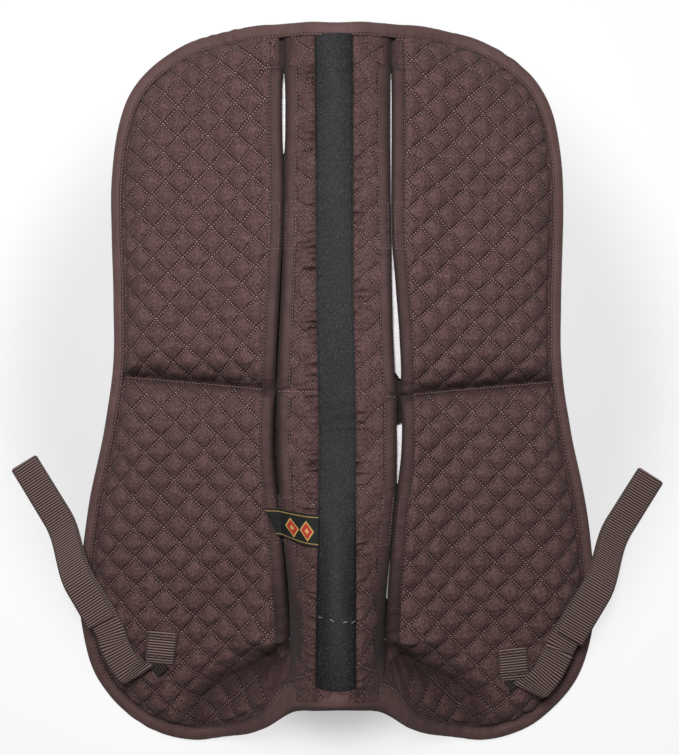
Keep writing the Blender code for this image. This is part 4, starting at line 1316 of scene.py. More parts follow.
@dataclass
class Panel(OnSide):
    """One side panel: cover, strips beside the mouths, lining, foam and skirt."""

    cover_rise: float = -0.0005
    cover_thickness: float = 0.0034
    pull: float = 0.0028
    slow_waves: float = 0.0008
    pleats: float = 0.0012
    creases: float = 0.00019
    folds: float = 0.0013
    lining_low: float = 0.0011
    lining_high: float = 0.0024
    lining_pillows: float = 0.23
    foam_low: float = 0.0029
    foam_gap: float = 0.0105
    foam_from_edge: float = 0.016
    foam_under_cover: float = 0.0048
    foam_under_lip: float = 0.0056
    tongue: float = 0.0028
    tongue_drop: float = 0.0014
    seam_gap: float = 0.0003
    fold_centre: Span = (0.052, 0.262)
    skirt_centre: Span = (0.036, -0.200)

    @cached_property
    def quilting(self) -> Quilting:
        """The lattice of this side, which lies a little differently on each."""
        if self.side is Side.RIGHT:
            return Quilting(start=(0.35, 0.10), seed=3)
        return Quilting(start=(0.62, 0.45), seed=17)

    def drawn(self, x: Array, y: Array) -> Array:
        """How far the divider seam pulls the cloth down."""
        return self.pull * bell(self.shape.past_divider(x, y), 0.0060)

    def shade(self, x: Array, y: Array) -> Array:
        """Painted shade, 0 to 1: on the divider seam and the fall ahead of it, and in the rear seam's valley.
        """
        off = self.shape.past_divider(x, y)
        line = bell(off, 0.0035) + 0.42 * ease(off / 0.004) * (1.0 - ease((off - 0.004) / 0.020))
        valley = (bell(self.shape.rear_seam_distance(x, y), 0.0080)
                  * (1.0 - 0.55 * ease((np.abs(x) - 0.055) / 0.06)))
        return np.clip(np.maximum(0.92 * line, valley), 0.0, 1.0)

    def unevenness(self, x: Array, y: Array) -> Array:
        """Slow waves in the laid cloth, short pleats from the divider seam, and small creases.

        The creases are stronger at the rear, and rays of cos(9 * angle) run out ahead of the slit.
        """
        ahead = self.shape.past_divider(x, y)
        off = np.abs(ahead)
        near = 1.0 - ease(off / 0.028)
        slow = self.slow_waves * waves(x, y, 0.075, 31 + self.side.value)
        pleats = waves(x + 0.5 * ahead, y * 0.12, 0.0100, 77 + self.side.value)
        crinkle = waves(x, y, 0.0065, 45 + self.side.value) * (0.6 + 1.2 * ease((-0.10 - y) / 0.10))
        dx, dy = np.abs(x) - self.fold_centre[0], y - self.fold_centre[1]
        reach = np.hypot(dx, dy)
        rays = np.cos(9.0 * np.arctan2(dy, dx) + self.side.value) * bell(reach, 0.020) * ease(reach / 0.006)
        crinkle = crinkle + (5.5 if self.side is Side.LEFT else 3.0) * rays
        return (slow * (1.0 - near) + self.pleats * near * ease(off / 0.003) * pleats
                + self.creases * crinkle)

    def top(self, x: Array, y: Array) -> Array:
        """Upper side of the cover: the panel's crown, the pillows and the unevenness.

        The pillows are low beside the outer binding, the seams, the slit and the strap's sewn end.
        """
        strap = STRAP_ENDS[self.side]
        away = np.hypot(x - strap[0], y - strap[1])
        fall = self.shape.rear_seam_distance(x, y)
        by_slit = self.shape.past_slit(x, y) - self.shape.slit_binding
        beside = (ease((self.shape.edge_distance(x, y) + 0.002) / 0.006)
                  * (0.30 + 0.70 * ease((fall - 0.004) / 0.022))
                  * (0.15 + 0.85 * ease((by_slit + 0.001) / 0.007)))
        divider = ease((np.abs(self.shape.past_divider(x, y)) - 0.001) / 0.008)
        crown = (self.quilting.pillow(x, y) * beside * (0.25 + 0.75 * divider)
                 * (0.35 + 0.65 * ease(away / 0.02 - 0.5)))
        return (self.shape.panel_top(x, y) + self.cover_rise - 0.0008 * (1.0 - beside) + crown
                + self.unevenness(x, y) * beside - self.drawn(x, y))

    def underside(self, x: Array, y: Array) -> Array:
        """Lower side of the cover."""
        return (self.shape.panel_top(x, y) + self.cover_rise - self.cover_thickness + 0.001
                - 0.6 * self.drawn(x, y))

    def _rim(self) -> Array:
        """The cloth's outer edge under the binding, from the front of the slit, and the rear seam."""
        line = inset(self.shape.outline, CLOTH_INSET)
        first, start = crossing(line, self.shape.slit_at(CLOTH_FRONT_Y) + self.shape.lip)
        last, end = crossing(line, self.shape.rear_seam[-1, 0], True)
        return np.vstack([start, line[first + 1:last + 1], end,
                          self.shape.rear_seam[::-1] + (0.0, self.seam_gap)])

    def cover_region(self) -> Array:
        """Plan of the cover: the panel less the two strips beside the mouths."""
        shape, offset = self.shape, self.shape.lip + CLOTH_UNDER_LIP
        hinge = shape.hinge_x - self.tongue
        inner = [shape.slit_edge(offset, shape.slit_rear_y + 0.002, shape.mouth_rear_y)]
        for pocket, ahead in ((Pocket.REAR, shape.mouth(Pocket.FRONT)[0]),
                              (Pocket.FRONT, shape.mouth_front_y + CLOTH_AHEAD)):
            low, high = shape.mouth(pocket)
            inner += [np.array([[hinge, low], [hinge, high]]), shape.slit_edge(offset, high, ahead)]
        return np.vstack([self._rim(), *inner])

    def cover_top(self, x: Array, y: Array) -> Array:
        """Upper side of the cover, which drops where it reaches under a mouth's strip."""
        mouths = [self.shape.mouth(pocket) for pocket in Pocket]
        in_mouth = np.any([(y > low) & (y < high) for low, high in mouths], axis=0)
        under = ease((self.shape.hinge_x - 0.0001 - np.abs(x)) / self.tongue_drop)
        return self.top(x, y) - self.tongue_drop * under * in_mouth

    def build_cover(self) -> None:
        """The quilted cover outside the mouths, with a tongue under each strip's hinge line."""
        made = Cloth(f"quilted_cover_{self.side.label}", self.side, self.cover_region(), self.cover_top,
                     self.underside, self.quilting, shade=self.shade).make(self.wardrobe.quilt)
        settle(made, "quilted_cotton", self.side.panel, stands_for=f"panel_cover_{self.side.label}", fill=0.5)

    def build_strips(self) -> None:
        """The strips of cover beside the mouths, fixed in place where they would bend up from their sewn
        ends.
        """
        for half in self.mouth_halves():
            pocket, word, near, far = half
            region = np.vstack([self.shape.slit_edge(self.shape.lip + CLOTH_UNDER_LIP, near, far),
                                [[self.shape.hinge_x, far], [self.shape.hinge_x, near]]])
            made = Cloth(f"mouth_strip_{pocket.value}_{word}_{self.side.label}", self.side, region, self.top,
                         self.underside, self.quilting, shade=self.shade).make(self.wardrobe.quilt)
            self.settle_half(made, "quilted_cotton", "mouth_flap", half, fill=0.5)

    def lining_underside(self, x: Array, y: Array) -> Array:
        """Lower side of the lining: its pillows hang down, and its stitched lines are drawn up."""
        return (self.shape.panel_base(x, y) + self.lining_low
                - self.quilting.pillow(x, y) * self.lining_pillows)

    def build_lining(self) -> None:
        """The lining on the table side, quilted like the cover and smooth against the foam."""
        shape = self.shape
        inner = shape.slit_edge(-0.0065, shape.slit_rear_y + 0.002, shape.mouth_front_y + CLOTH_AHEAD)
        # Painted shade darkens the lining under and beside the slit, where it lies in the gap's dark.
        made = Cloth(f"lining_{self.side.label}", self.side, np.vstack([self._rim(), inner]),
                     lambda x, y: shape.panel_base(x, y) + self.lining_high, self.lining_underside,
                     self.quilting, 10,
                     shade=lambda x, y: 1.0 - ease((shape.past_slit(x, y) - 0.008) / 0.010))
        settle(made.make(self.wardrobe.lining), "lining_cotton", self.side.panel,
               stands_for=f"panel_lining_{self.side.label}", fill=0.3)

    def foam_edge(self, pocket: Pocket, y: Array) -> Array:
        """Inner edge of the foam: across the slit where it shows, set back elsewhere."""
        bare = sum((ease((y - low) / 0.024) * ease((high - y) / 0.005)
                    for low, high in FOAM_SHOWN[self.side][pocket]), np.zeros_like(y))
        return self.shape.slit_x(y) + 0.0075 - (0.0085 + slit_gap(self.side, y) * 0.55) * bare

    def foam_region(self, pocket: Pocket) -> Array:
        """Plan of an insert, clear of the outer binding, the divider and the rear seam."""
        shape = self.shape
        ring = inset(shape.outline, shape.edge_width + self.foam_from_edge)
        aside = 1 if pocket is Pocket.FRONT else -1
        least = shape.divider_y + aside * (shape.divider_half + 0.002)
        inner_y, outer_y = (aside * max(aside * least, aside * at + self.foam_gap)
                            for at in (shape.divider_inner, shape.divider_outer))
        if pocket is Pocket.FRONT:
            i, start = crossing(ring, shape.slit_at(0.26) + 0.008)
            outer = np.vstack([start, ring[i + 2:][ring[i + 2:, 1] > outer_y + 0.004]])
            y = np.linspace(inner_y, start[1] - 0.004, 90)
            parts = [outer, [[outer[-1, 0], outer_y]]]
        else:
            outer = ring[(ring[:, 1] < outer_y - 0.004) & (ring[:, 0] > shape.rear_lobe_x + 0.022)]
            seam = inset(shape.rear_seam, -self.foam_from_edge)
            seam = seam[(seam[:, 1] > outer[-1, 1]) & (seam[:, 0] < outer[-1, 0] - 0.008)
                        & (seam[:, 0] > shape.slit_rear_x + 0.014)]
            y = np.linspace(seam[0, 1] + 0.010, inner_y, 90)
            parts = [[[outer[0, 0], outer_y]], outer, seam[::-1]]
        return np.vstack([*parts, np.stack([self.foam_edge(pocket, y), y], 1)])

    def foam_top(self, x: Array, y: Array) -> Array:
        """Upper side of the foam, lower beside the slit and under the mouths' strips."""
        top = self.shape.panel_top(x, y)
        by_slit = top - self.foam_under_lip
        share = ease((self.shape.past_slit(x, y) - self.shape.slit_binding) / 0.020)
        room = 0.0009 * (1.0 - ease((np.abs(x) - self.shape.hinge_x - 0.004) / 0.016))
        high = by_slit + (top - self.foam_under_cover - by_slit) * share - room - 1.2 * self.drawn(x, y)
        return np.maximum(high, self.shape.panel_base(x, y) + 0.0040) + 0.0002 * waves(x, y, 0.011, 5)

    def build_foam(self) -> None:
        """The two foam inserts; their inner edges show pale in the slits."""
        for pocket in Pocket:
            made = Cloth(f"foam_{pocket.value}_{self.side.label}", self.side, self.foam_region(pocket),
                         self.foam_top, lambda x, y: self.shape.panel_base(x, y) + self.foam_low,
                         Quilting(wobble=0.0), 8).make(self.wardrobe.foam)
            settle(made, "memory_foam", self.side.panel,
                   stands_for=f"foam_insert_{pocket.value}_{self.side.label}", fill=1.0)

    def skirt_surface(self, x: Array, y: Array) -> Array:
        """Upper side of the skirt: folds fan out beside the spine, and pillows towards the lobe."""
        dx, dy = np.abs(x) - self.skirt_centre[0], y - self.skirt_centre[1]
        quilt = ease((np.abs(x) - 0.052) / 0.018)
        folds = self.folds * waves(np.arctan2(dx, -dy) * 0.045, np.hypot(dx, dy) * 0.15, 0.0075,
                               91 + self.side.value) * (1.0 - 0.4 * quilt)
        deep = ease(self.shape.rear_seam_distance(x, y) / 0.008)
        relief = (self.quilting.pillow(x, y) * quilt + folds) * deep
        return self.shape.covered(self.shape.skirt_top(x, y), relief, x, y)

    def skirt_shade(self, x: Array, y: Array) -> Array:
        """Painted shade, 0 to 1: some on all the skirt, more on the arch's fall (most on the right), and in
        the rear seam's valley.
        """
        near = 1.0 - 0.5 * ease((np.abs(x) - 0.055) / 0.06)
        facing = 1.0 - ease((np.abs(x) - 0.050) / 0.030)
        return np.clip(0.16 + (0.34 if self.side is Side.RIGHT else 0.22) * facing
                       + 0.85 * bell(self.shape.rear_seam_distance(x, y), 0.0100) * near, 0.0, 1.0)

    def build_skirt(self) -> None:
        """The quilted cloth behind the rear pocket, which reaches from the spine to the panel."""
        shape = self.shape
        inner_x = shape.slit_rear_x - shape.lip - 0.002
        line = inset(shape.outline, CLOTH_INSET)
        last, end = crossing(line, shape.rear_seam[-1, 0], True)
        first, start = crossing(line, inner_x, True)
        region = np.vstack([[[inner_x, shape.slit_rear_y]], shape.rear_seam, end,
                            line[last + 1:first + 1], start])
        made = Cloth(f"rear_skirt_cloth_{self.side.label}", self.side, region, self.skirt_surface,
                     lambda x, y: shape.skirt_top(x, y) - BAND_THICKNESS, self.quilting, 14,
                     lambda x, y: ease((np.abs(x) - 0.054) / 0.006), self.skirt_shade)
        settle(made.make(self.wardrobe.quilt), "quilted_cotton", "spine", self.side.panel,
               bend=across_bend(self.side, *ARCH_BEND), stands_for=f"rear_skirt_{self.side.label}", fill=0.3)

    def build_stitches(self) -> None:
        """The stitches of the seam between the pockets, from the slit to the outer binding."""
        x = np.linspace(self.shape.slit_at(0.0) + 0.0135, 0.187, 110)
        y = self.shape.divider(x)
        row = np.column_stack([x * self.side.value, y, self.top(x, y) + 0.0003])
        made = Stitching(0.0028, 0.0019, 0.00034).make(f"divider_stitches_{self.side.label}", [row],
                                                        self.wardrobe.thread)
        settle(made, "quilted_cotton", self.side.panel)

    def build(self) -> None:
        """Builds the panel's cloth and foam."""
        for step in (self.build_cover, self.build_strips, self.build_lining, self.build_foam,
                     self.build_skirt, self.build_stitches):
            step()
        LOG.info("panel %s built", self.side.label)


@dataclass
class EdgeBinding:
    """The binding round the pad's outer edge, in lengths that part where the pad folds."""

    wardrobe: Wardrobe
    stations: tuple[float, ...] = (-0.31, -0.27, -0.20, 0.20, 0.27, 0.30)
    millimetres: tuple[float, ...] = (13.2, 11.8, 10.4, 10.6, 12.4, 13.2)
    arch_width: float = 0.0176
    bends: tuple[tuple[float, ...], ...] = ((-0.108, 0.300, 0.014, 1.6), (-0.088, 0.302, 0.010, 1.2),
                                            (0.150, 0.285, 0.014, 1.6), (-0.170, -0.29, 0.02, 0.8))

    @cached_property
    def half(self) -> Array:
        """The middle line of the binding on the right side, front centre to rear centre."""
        return resampled(inset(SHAPE.outline, SHAPE.edge_width / 2), 0.0020)

    @cached_property
    def run(self) -> Array:
        """Distance walked along the half line."""
        return walked(self.half)

    def spread(self, path: Array, across: Array) -> Array:
        """Moves the inner edge so that the strip is as wide as in the photograph: full at both ends."""
        width = np.interp(path[:, 1], self.stations, self.millimetres) / 1000
        centre = (1.0 - ease((np.abs(path[:, 0]) - 0.030) / 0.035)) * (path[:, 1] < -0.2)
        stretch = (width + (self.arch_width - width) * centre - 0.006)[:, None] / 0.0062
        return np.where(across < 0, across * stretch, across)

    def pucker(self, x: Array, y: Array, across: Array) -> Array:
        """Small gathers that run slantwise over the strip, strongest at the stitched edge."""
        inner = np.clip((0.004 - across) / 0.010, 0.0, 1.0)
        bends = sum(bell(np.hypot(x - bx, y - by), size) * gain for bx, by, size, gain in self.bends)
        return (0.00045 * waves(x + 0.4 * y, y - 0.4 * x, 0.0085, 51) * inner
                + 0.00050 * bends * np.sin((x * 0.8 + y * 0.35) * 2 * np.pi / 0.0085)
                + 0.00035 * waves(x, y, 0.045, 52))

    def station(self, x: float, rear: bool = True) -> float:
        """Distance walked where the half line crosses x."""
        i, point = crossing(self.half, x, rear)
        return float(self.run[i] + np.linalg.norm(point - self.half[i]))

    def part(self, low: float, high: float) -> Array:
        """The half line between two distances."""
        inner = self.half[(self.run > low + 0.0004) & (self.run < high - 0.0004)]
        return np.vstack([at_run(self.half, self.run, low), inner, at_run(self.half, self.run, high)])

    def _length(self, name: str, path: Array, node: str, *bodies: str, bend: Sequence[Point] = ()) -> None:
        """Makes one length and hangs it on its body, or fixes it in place where it has a bend."""
        place = (abs(path[0, 0]), path[0, 1])
        start = float(self.run[np.abs(self.half - place).sum(1).argmin()])
        made = Strip(name, path, EDGE_SECTION, SHAPE.edge_middle, start,
                     self.spread, self.pucker, stitched_end=-1).make(self.wardrobe.edge)
        settle(made, "binding_cotton", *bodies, bend=bend, stands_for=node)

    def build(self) -> None:
        """Builds the lengths: front and rear on the spine, two bends, two arches and two sides."""
        foot = self.station(SHAPE.arch_foot_x + 0.004)
        split = self.station(SHAPE.slit_rear_x - SHAPE.lip)
        near, far = (self.station(x, False) for x in FRONT_FOLD)
        front, rear = self.part(0.0, near), self.part(split, float(self.run[-1]))
        mirror = np.array([-1.0, 1.0])
        self._length("front_edge_binding", np.vstack([front[::-1] * mirror, front[1:]]),
                     "edge_binding_front", "spine")
        self._length("rear_edge_binding", np.vstack([rear, (rear * mirror)[::-1][1:]]),
                     "edge_binding_rear", "spine")
        for side in Side:
            fold, edge, arch = (path if side is Side.RIGHT else (path * mirror)[::-1] for path in
                                (self.part(*ends) for ends in ((near, far), (far, foot), (foot, split))))
            self._length(f"front_fold_binding_{side.label}", fold, "", "spine", side.panel,
                         bend=across_bend(side, *FRONT_FOLD))
            self._length(f"side_edge_binding_{side.label}", edge, f"edge_binding_{side.label}", side.panel)
            self._length(f"arch_edge_binding_{side.label}", arch, f"arch_binding_{side.label}",
                         "spine", side.panel, bend=across_bend(side, *ARCH_BEND))
        LOG.info("edge binding built")


@dataclass
class SlitBinding(OnSide):
    """The bindings on both edges of one slit."""

    front_reach: float = 0.0245
    heel_reach: float = 0.016
    level: float = 0.0022
    gathers: float = 0.00045
    waves: float = 0.00035
    folds: float = 0.0008
    gathered: tuple[tuple[float, float], ...] = ((0.268, 0.020), (-0.205, 0.030), (-0.002, 0.020),
                                                 (0.126, 0.030), (-0.115, 0.030))

    def pucker(self, x: Array, y: Array, across: Array) -> Array:
        """Crosswise gathers along the strip, stronger near the closures and the sewn ends."""
        seed = 61 + self.side.value
        ends = sum(bell(y - at, size) for at, size in self.gathered)
        gathers = waves(x * 0.3, y, 0.0075, seed) * (0.4 + 0.9 * ends)
        folds = waves(x, y * 0.15, 0.0055, seed + 9) * ease((y - 0.258) / 0.008)
        return self.gathers * gathers + self.waves * waves(x, y, 0.030, seed + 5) + self.folds * folds

    def swell(self, y: Array) -> Array:
        """How full the strip stands: flat ahead of the slit, at the divider seam and behind the slit."""
        divider = bell(y - self.shape.divider_inner, 0.0055)
        full = 1.0 - 0.55 * ease((y - 0.258) / 0.008) - 0.55 * divider
        return full - 0.62 * ease((-0.206 - y) / 0.022)

    def shade(self, x: Array, y: Array) -> Array:
        """Painted shade, 0 to 1: at the divider seam, ahead of the slit and where the slit closes behind."""
        divider = 0.8 * bell(y - self.shape.divider_inner, 0.0040)
        ahead = 0.5 * bell(y - 0.263, 0.0035) + 0.15 * ease((y - 0.262) / 0.004)
        behind = 0.60 * ease((-0.140 - y) / 0.045) * (1.0 - ease((-0.212 - y) / 0.012))
        return np.clip(divider + ahead + behind, 0.0, 1.0)

    def panel_side(self, x: Array, y: Array) -> Array:
        """The cloth on the panel's side of the slit: the panel, and the skirt behind it."""
        return np.where(y < self.shape.slit_rear_y, self.shape.skirt_top(x, y), self.shape.panel_top(x, y))

    @staticmethod
    def narrow(path: Array, across: Array) -> Array:
        """Narrows the strip behind the slit, where only a seam is left."""
        return across * (1.0 - 0.5 * ease((-0.218 - path[:, 1]) / 0.016))[:, None]

    def _piece(self, name: str, y_from: float, y_to: float, inner: bool = False) -> Piece:
        """One length of binding: on the panel's edge of the slit, or on the spine band's.

        The middle line keeps half the open gap and half the strip's width from the slit's centre.
        """
        path = self.shape.slit_edge(0.0, y_from, y_to)
        offset = slit_gap(self.side, path[:, 1]) / 2 + self.shape.slit_binding / 2
        path[:, 0] += -offset if inner else offset
        surface = self.shape.band_top if inner else self.panel_side
        return Strip(f"{name}_{self.side.label}", path * (self.side.value, 1), LIP_SECTION,
                     lambda x, y: surface(x, y) - self.level, float(y_from), self.narrow, self.pucker,
                     self.swell, self.shade, inner != (self.side is Side.RIGHT), 1).make(self.wardrobe.lip)

    def build(self) -> None:
        """Builds the spine's strip, the panel's fixed lengths and the lengths that lift."""
        shape = self.shape
        front = shape.mouth_front_y + self.front_reach
        rear = float(crossing(inset(shape.outline, 0.0105), shape.slit_rear_x - 0.008, True)[1][1])
        settle(self._piece("spine_slit_binding", rear, front, True), "binding_cotton", "spine",
               stands_for=f"spine_binding_{self.side.label}")
        for word, low, high in (
                ("tail", shape.mouth_front_y, front),
                ("middle", shape.divider_y - shape.divider_half, shape.divider_y + shape.divider_half),
                ("heel", shape.slit_rear_y - self.heel_reach, shape.mouth_rear_y)):
            settle(self._piece(f"panel_slit_binding_{word}", low, high), "binding_cotton", self.side.panel)
        for half in self.mouth_halves():
            pocket, word, near, far = half
            made = self._piece(f"lifting_binding_{pocket.value}_{word}", near, far)
            self.settle_half(made, "binding_cotton", "mouth_binding", half)
        LOG.info("slit bindings %s built", self.side.label)


@dataclass
class SpineBand:
    """The quilted band over the spine, with the woven tape along its ridge."""

    wardrobe: Wardrobe
    quilting: Quilting = field(default_factory=lambda: Quilting(
        up_angle=43.0, down_angle=46.0, start=(0.15, 0.4), rise=0.0022, seed=23))
    gathers: float = 0.0026
    slow_waves: float = 0.0006
    pull: float = 0.0012
    tape_half: float = 0.015
    tape_stations: tuple[float, ...] = (-0.25, -0.20, -0.13, -0.04, 0.075, 0.17, 0.30)
    tape_offsets: tuple[float, ...] = (-1.1, -1.2, -0.5, 0.0, -2.1, -2.3, -3.1)

    def tape_x(self, y: Array) -> Array:
        """How far the tape's middle strays from the spine along the pad."""
        return np.interp(y, self.tape_stations, self.tape_offsets) / 1000.0

    def past_tape(self, x: Array, y: Array) -> Array:
        """Distance outwards from the tape's edge."""
        return np.abs(x - self.tape_x(y)) - self.tape_half

    def ruffles(self, x: Array, y: Array) -> Array:
        """Gathers drawn up beside the tape, in patches, from about -1 to 1."""
        off = self.past_tape(x, y)
        patch = (0.32 + 0.68 * ease(0.4 + 0.9 * waves(x, y, 0.045, 12))) * np.where(x < 0, 1.0, 0.7)
        rows = waves(x * 0.20 + 0.25 * y * np.sign(x), y, 0.0058, 13)
        return rows * patch * (1.0 - ease(off / 0.018)) * ease(off / 0.001)

    def surface(self, x: Array, y: Array) -> Array:
        """Upper side of the band: the arch, the pillows, the gathers and the pull of the divider seam."""
        free = ease(self.past_tape(x, y) / 0.005)
        pulled = bell(y + 0.005, 0.005) * free * np.where(x < 0, 1.0, 0.3)
        relief = (self.quilting.pillow(x, y) * free + self.gathers * self.ruffles(x, y)
                  + self.slow_waves * waves(x, y, 0.060, 14) * free)
        return SHAPE.covered(SHAPE.band_top(x, y), relief, x, y) - self.pull * pulled

    def shade(self, x: Array, y: Array) -> Array:
        """Painted shade, 0 to 1: the low sides of the gathers, the cloth under the tape's edges, and some all
        over, more on the left.
        """
        dip = 0.5 * bell(self.past_tape(x, y), 0.0016) + np.where(x < 0, 0.15, 0.05)
        return np.clip(dip + 0.55 * np.clip(-self.ruffles(x, y), 0.0, 1.0), 0.0, 1.0)

    def cockle(self, x: Array, y: Array, off: Array) -> Array:
        """Low waves across the tape, a little higher at its edges."""
        edge = (np.abs(off) / self.tape_half) ** 4
        return 0.00022 * waves(x * 0.2, y, 0.0085, 41) * (0.25 + edge) + 0.0003 * waves(x, y, 0.05, 42)

    def build(self) -> None:
        """Builds the band, the tape and the divider's stitches on the band."""
        line = inset(SHAPE.outline, CLOTH_INSET)
        inner = -(SHAPE.lip + 0.0045)
        front = crossing(line, SHAPE.slit_at(CLOTH_FRONT_Y) + inner)
        rear = crossing(line, SHAPE.slit_at(-0.26) + inner, True)
        right = SHAPE.slit_edge(inner, front[1][1] - 0.002, rear[1][1] + 0.002)
        half = np.vstack([line[:front[0] + 1], right, line[rear[0] + 1:]])
        region = np.vstack([half, (half * (-1, 1))[::-1][1:-1]])
        made = Cloth("spine_band_cloth", Side.RIGHT, region, self.surface,
                     lambda x, y: SHAPE.band_top(x, y) - BAND_THICKNESS, self.quilting, 14,
                     lambda x, y: np.full_like(x, 0.7), self.shade).make(self.wardrobe.quilt)
        settle(made, "quilted_cotton", "spine", stands_for="spine_band", fill=0.3)
        y = np.linspace(SHAPE.rear_notch_y + 0.0172, SHAPE.front_notch_y - 0.0115, 360)
        made = Strip("woven_tape", np.stack([self.tape_x(y), y], 1),
                     flat_section(self.tape_half, 27, 0.00085, -0.0006),
                     lambda x, y: SHAPE.band_top(x, y) + 0.0007, float(y[0]), None,
                     self.cockle).make(self.wardrobe.tape)
        settle(made, "spine_tape", "spine", stands_for="spine_tape")
        self._divider_stitches()
        LOG.info("spine band built")

    def _divider_stitches(self) -> None:
        """The stitches of both divider seams, on the spine's side of the slits."""
        rows = []
        for side, x in ((Side.LEFT, np.linspace(-0.0640, -0.0175, 60)),
                        (Side.RIGHT, np.linspace(0.0380, 0.0640, 40))):
            slit = SHAPES[side].slit_at(0.0)
            y = np.full_like(x, SHAPES[side].divider_inner)
            z = np.where(np.abs(x) < 0.040, self.surface(x, y) + 0.0003, SHAPES[side].band_top(x, y) + 0.0004)
            rows.append(np.column_stack([x, y, z])[slit - np.abs(x) > 0.0012])
        made = Stitching(0.0028, 0.0019, 0.00032).make("divider_stitches_spine", rows, self.wardrobe.thread)
        settle(made, "quilted_cotton", "spine")


@dataclass
class Closures(OnSide):
    """Hook patches under the mouths, loop tabs from the spine band, and their stitched rectangles."""

    length: float = 0.038
    middles: Span = (0.132, -0.110)
    hooks_under: float = 0.0059
    loops_under: float = 0.0068
    tab_under: float = 0.0064
    on_panel: Span = (0.0030, 0.0112)
    on_band: Span = (-0.0112, -0.0030)
    on_binding: tuple[tuple[float, ...], ...] = ((0.0, 0.001, 0.003, 0.006, 0.0085, 0.0115),
                                                 (-0.001, 0.0009, 0.0023, 0.0021, 0.0014, 0.0006))

    def build(self) -> None:
        """Builds the patches, the tabs and the rows of stitches."""
        label, s, shape = self.side.label, self.side.value, self.shape
        for pocket, y in zip(Pocket, self.middles):
            low, high = y - self.length / 2, y + self.length / 2
            path = shape.slit_edge(shape.lip + shape.slit_binding / 2, low, high) * (s, 1)
            made = Strip(f"hooks_{pocket.value}_{label}", path, flat_section(0.005, 9, 0.0005, -0.0005),
                         lambda x, y: shape.panel_top(x, y) - self.hooks_under).make(self.wardrobe.nap)
            settle(made, "hook_and_loop", self.mouth_body(pocket),
                   stands_for=f"hook_patch_{pocket.value}_{label}")
            made = Strip(f"loops_{pocket.value}_{label}", shape.slit_edge(-0.001, low, high) * (s, 1),
                         flat_section(0.012, 17, 0.0004, -0.0004), self._tab_level).make(self.wardrobe.nap)
            settle(made, "hook_and_loop", "spine", self.side.panel, bend=across_bend(self.side, 0.044, 0.054),
                   stands_for=f"loop_tab_{pocket.value}_{label}")
            for word, aside, surface, body in (
                    ("patch", self.on_panel, shape.panel_top, self.mouth_body(pocket)),
                    ("tab", self.on_band, shape.band_top, "spine")):
                made = Stitching(0.0026, 0.0016, 0.00024).make(
                    f"{word}_stitches_{pocket.value}_{label}", self._rectangle((low, high), aside, surface),
                    self.wardrobe.thread)
                settle(made, "binding_cotton", body)

    def _tab_level(self, x: Array, y: Array) -> Array:
        """Middle of a loop tab: under the band's edge, then over the slit to the hook patch."""
        under = self.shape.panel_top(x, y) - self.loops_under
        over = self.shape.band_top(x, y) - self.tab_under
        return over + (under - over) * ease(0.5 + self.shape.past_slit(x, y) / 0.0045) - 0.0005

    def _rectangle(self, along: Span, aside: Span, surface: Field) -> list[Array]:
        """Rows of points round a patch or a tab: its Y range, and its range out from the slit."""
        low, high = along
        rows = [self.shape.slit_edge(offset, low - 0.001, high + 0.001) for offset in aside]
        rows += [np.array([[self.shape.slit_at(y) + offset, y] for offset in aside]) for y in along]
        lines = []
        for x, y in (resampled(row, 0.001).T for row in rows):
            above = np.interp(np.abs(self.shape.past_slit(x, y)), *self.on_binding) + 0.0002
            lines.append(np.column_stack([x * self.side.value, y, surface(x, y) + above]))
        return lines


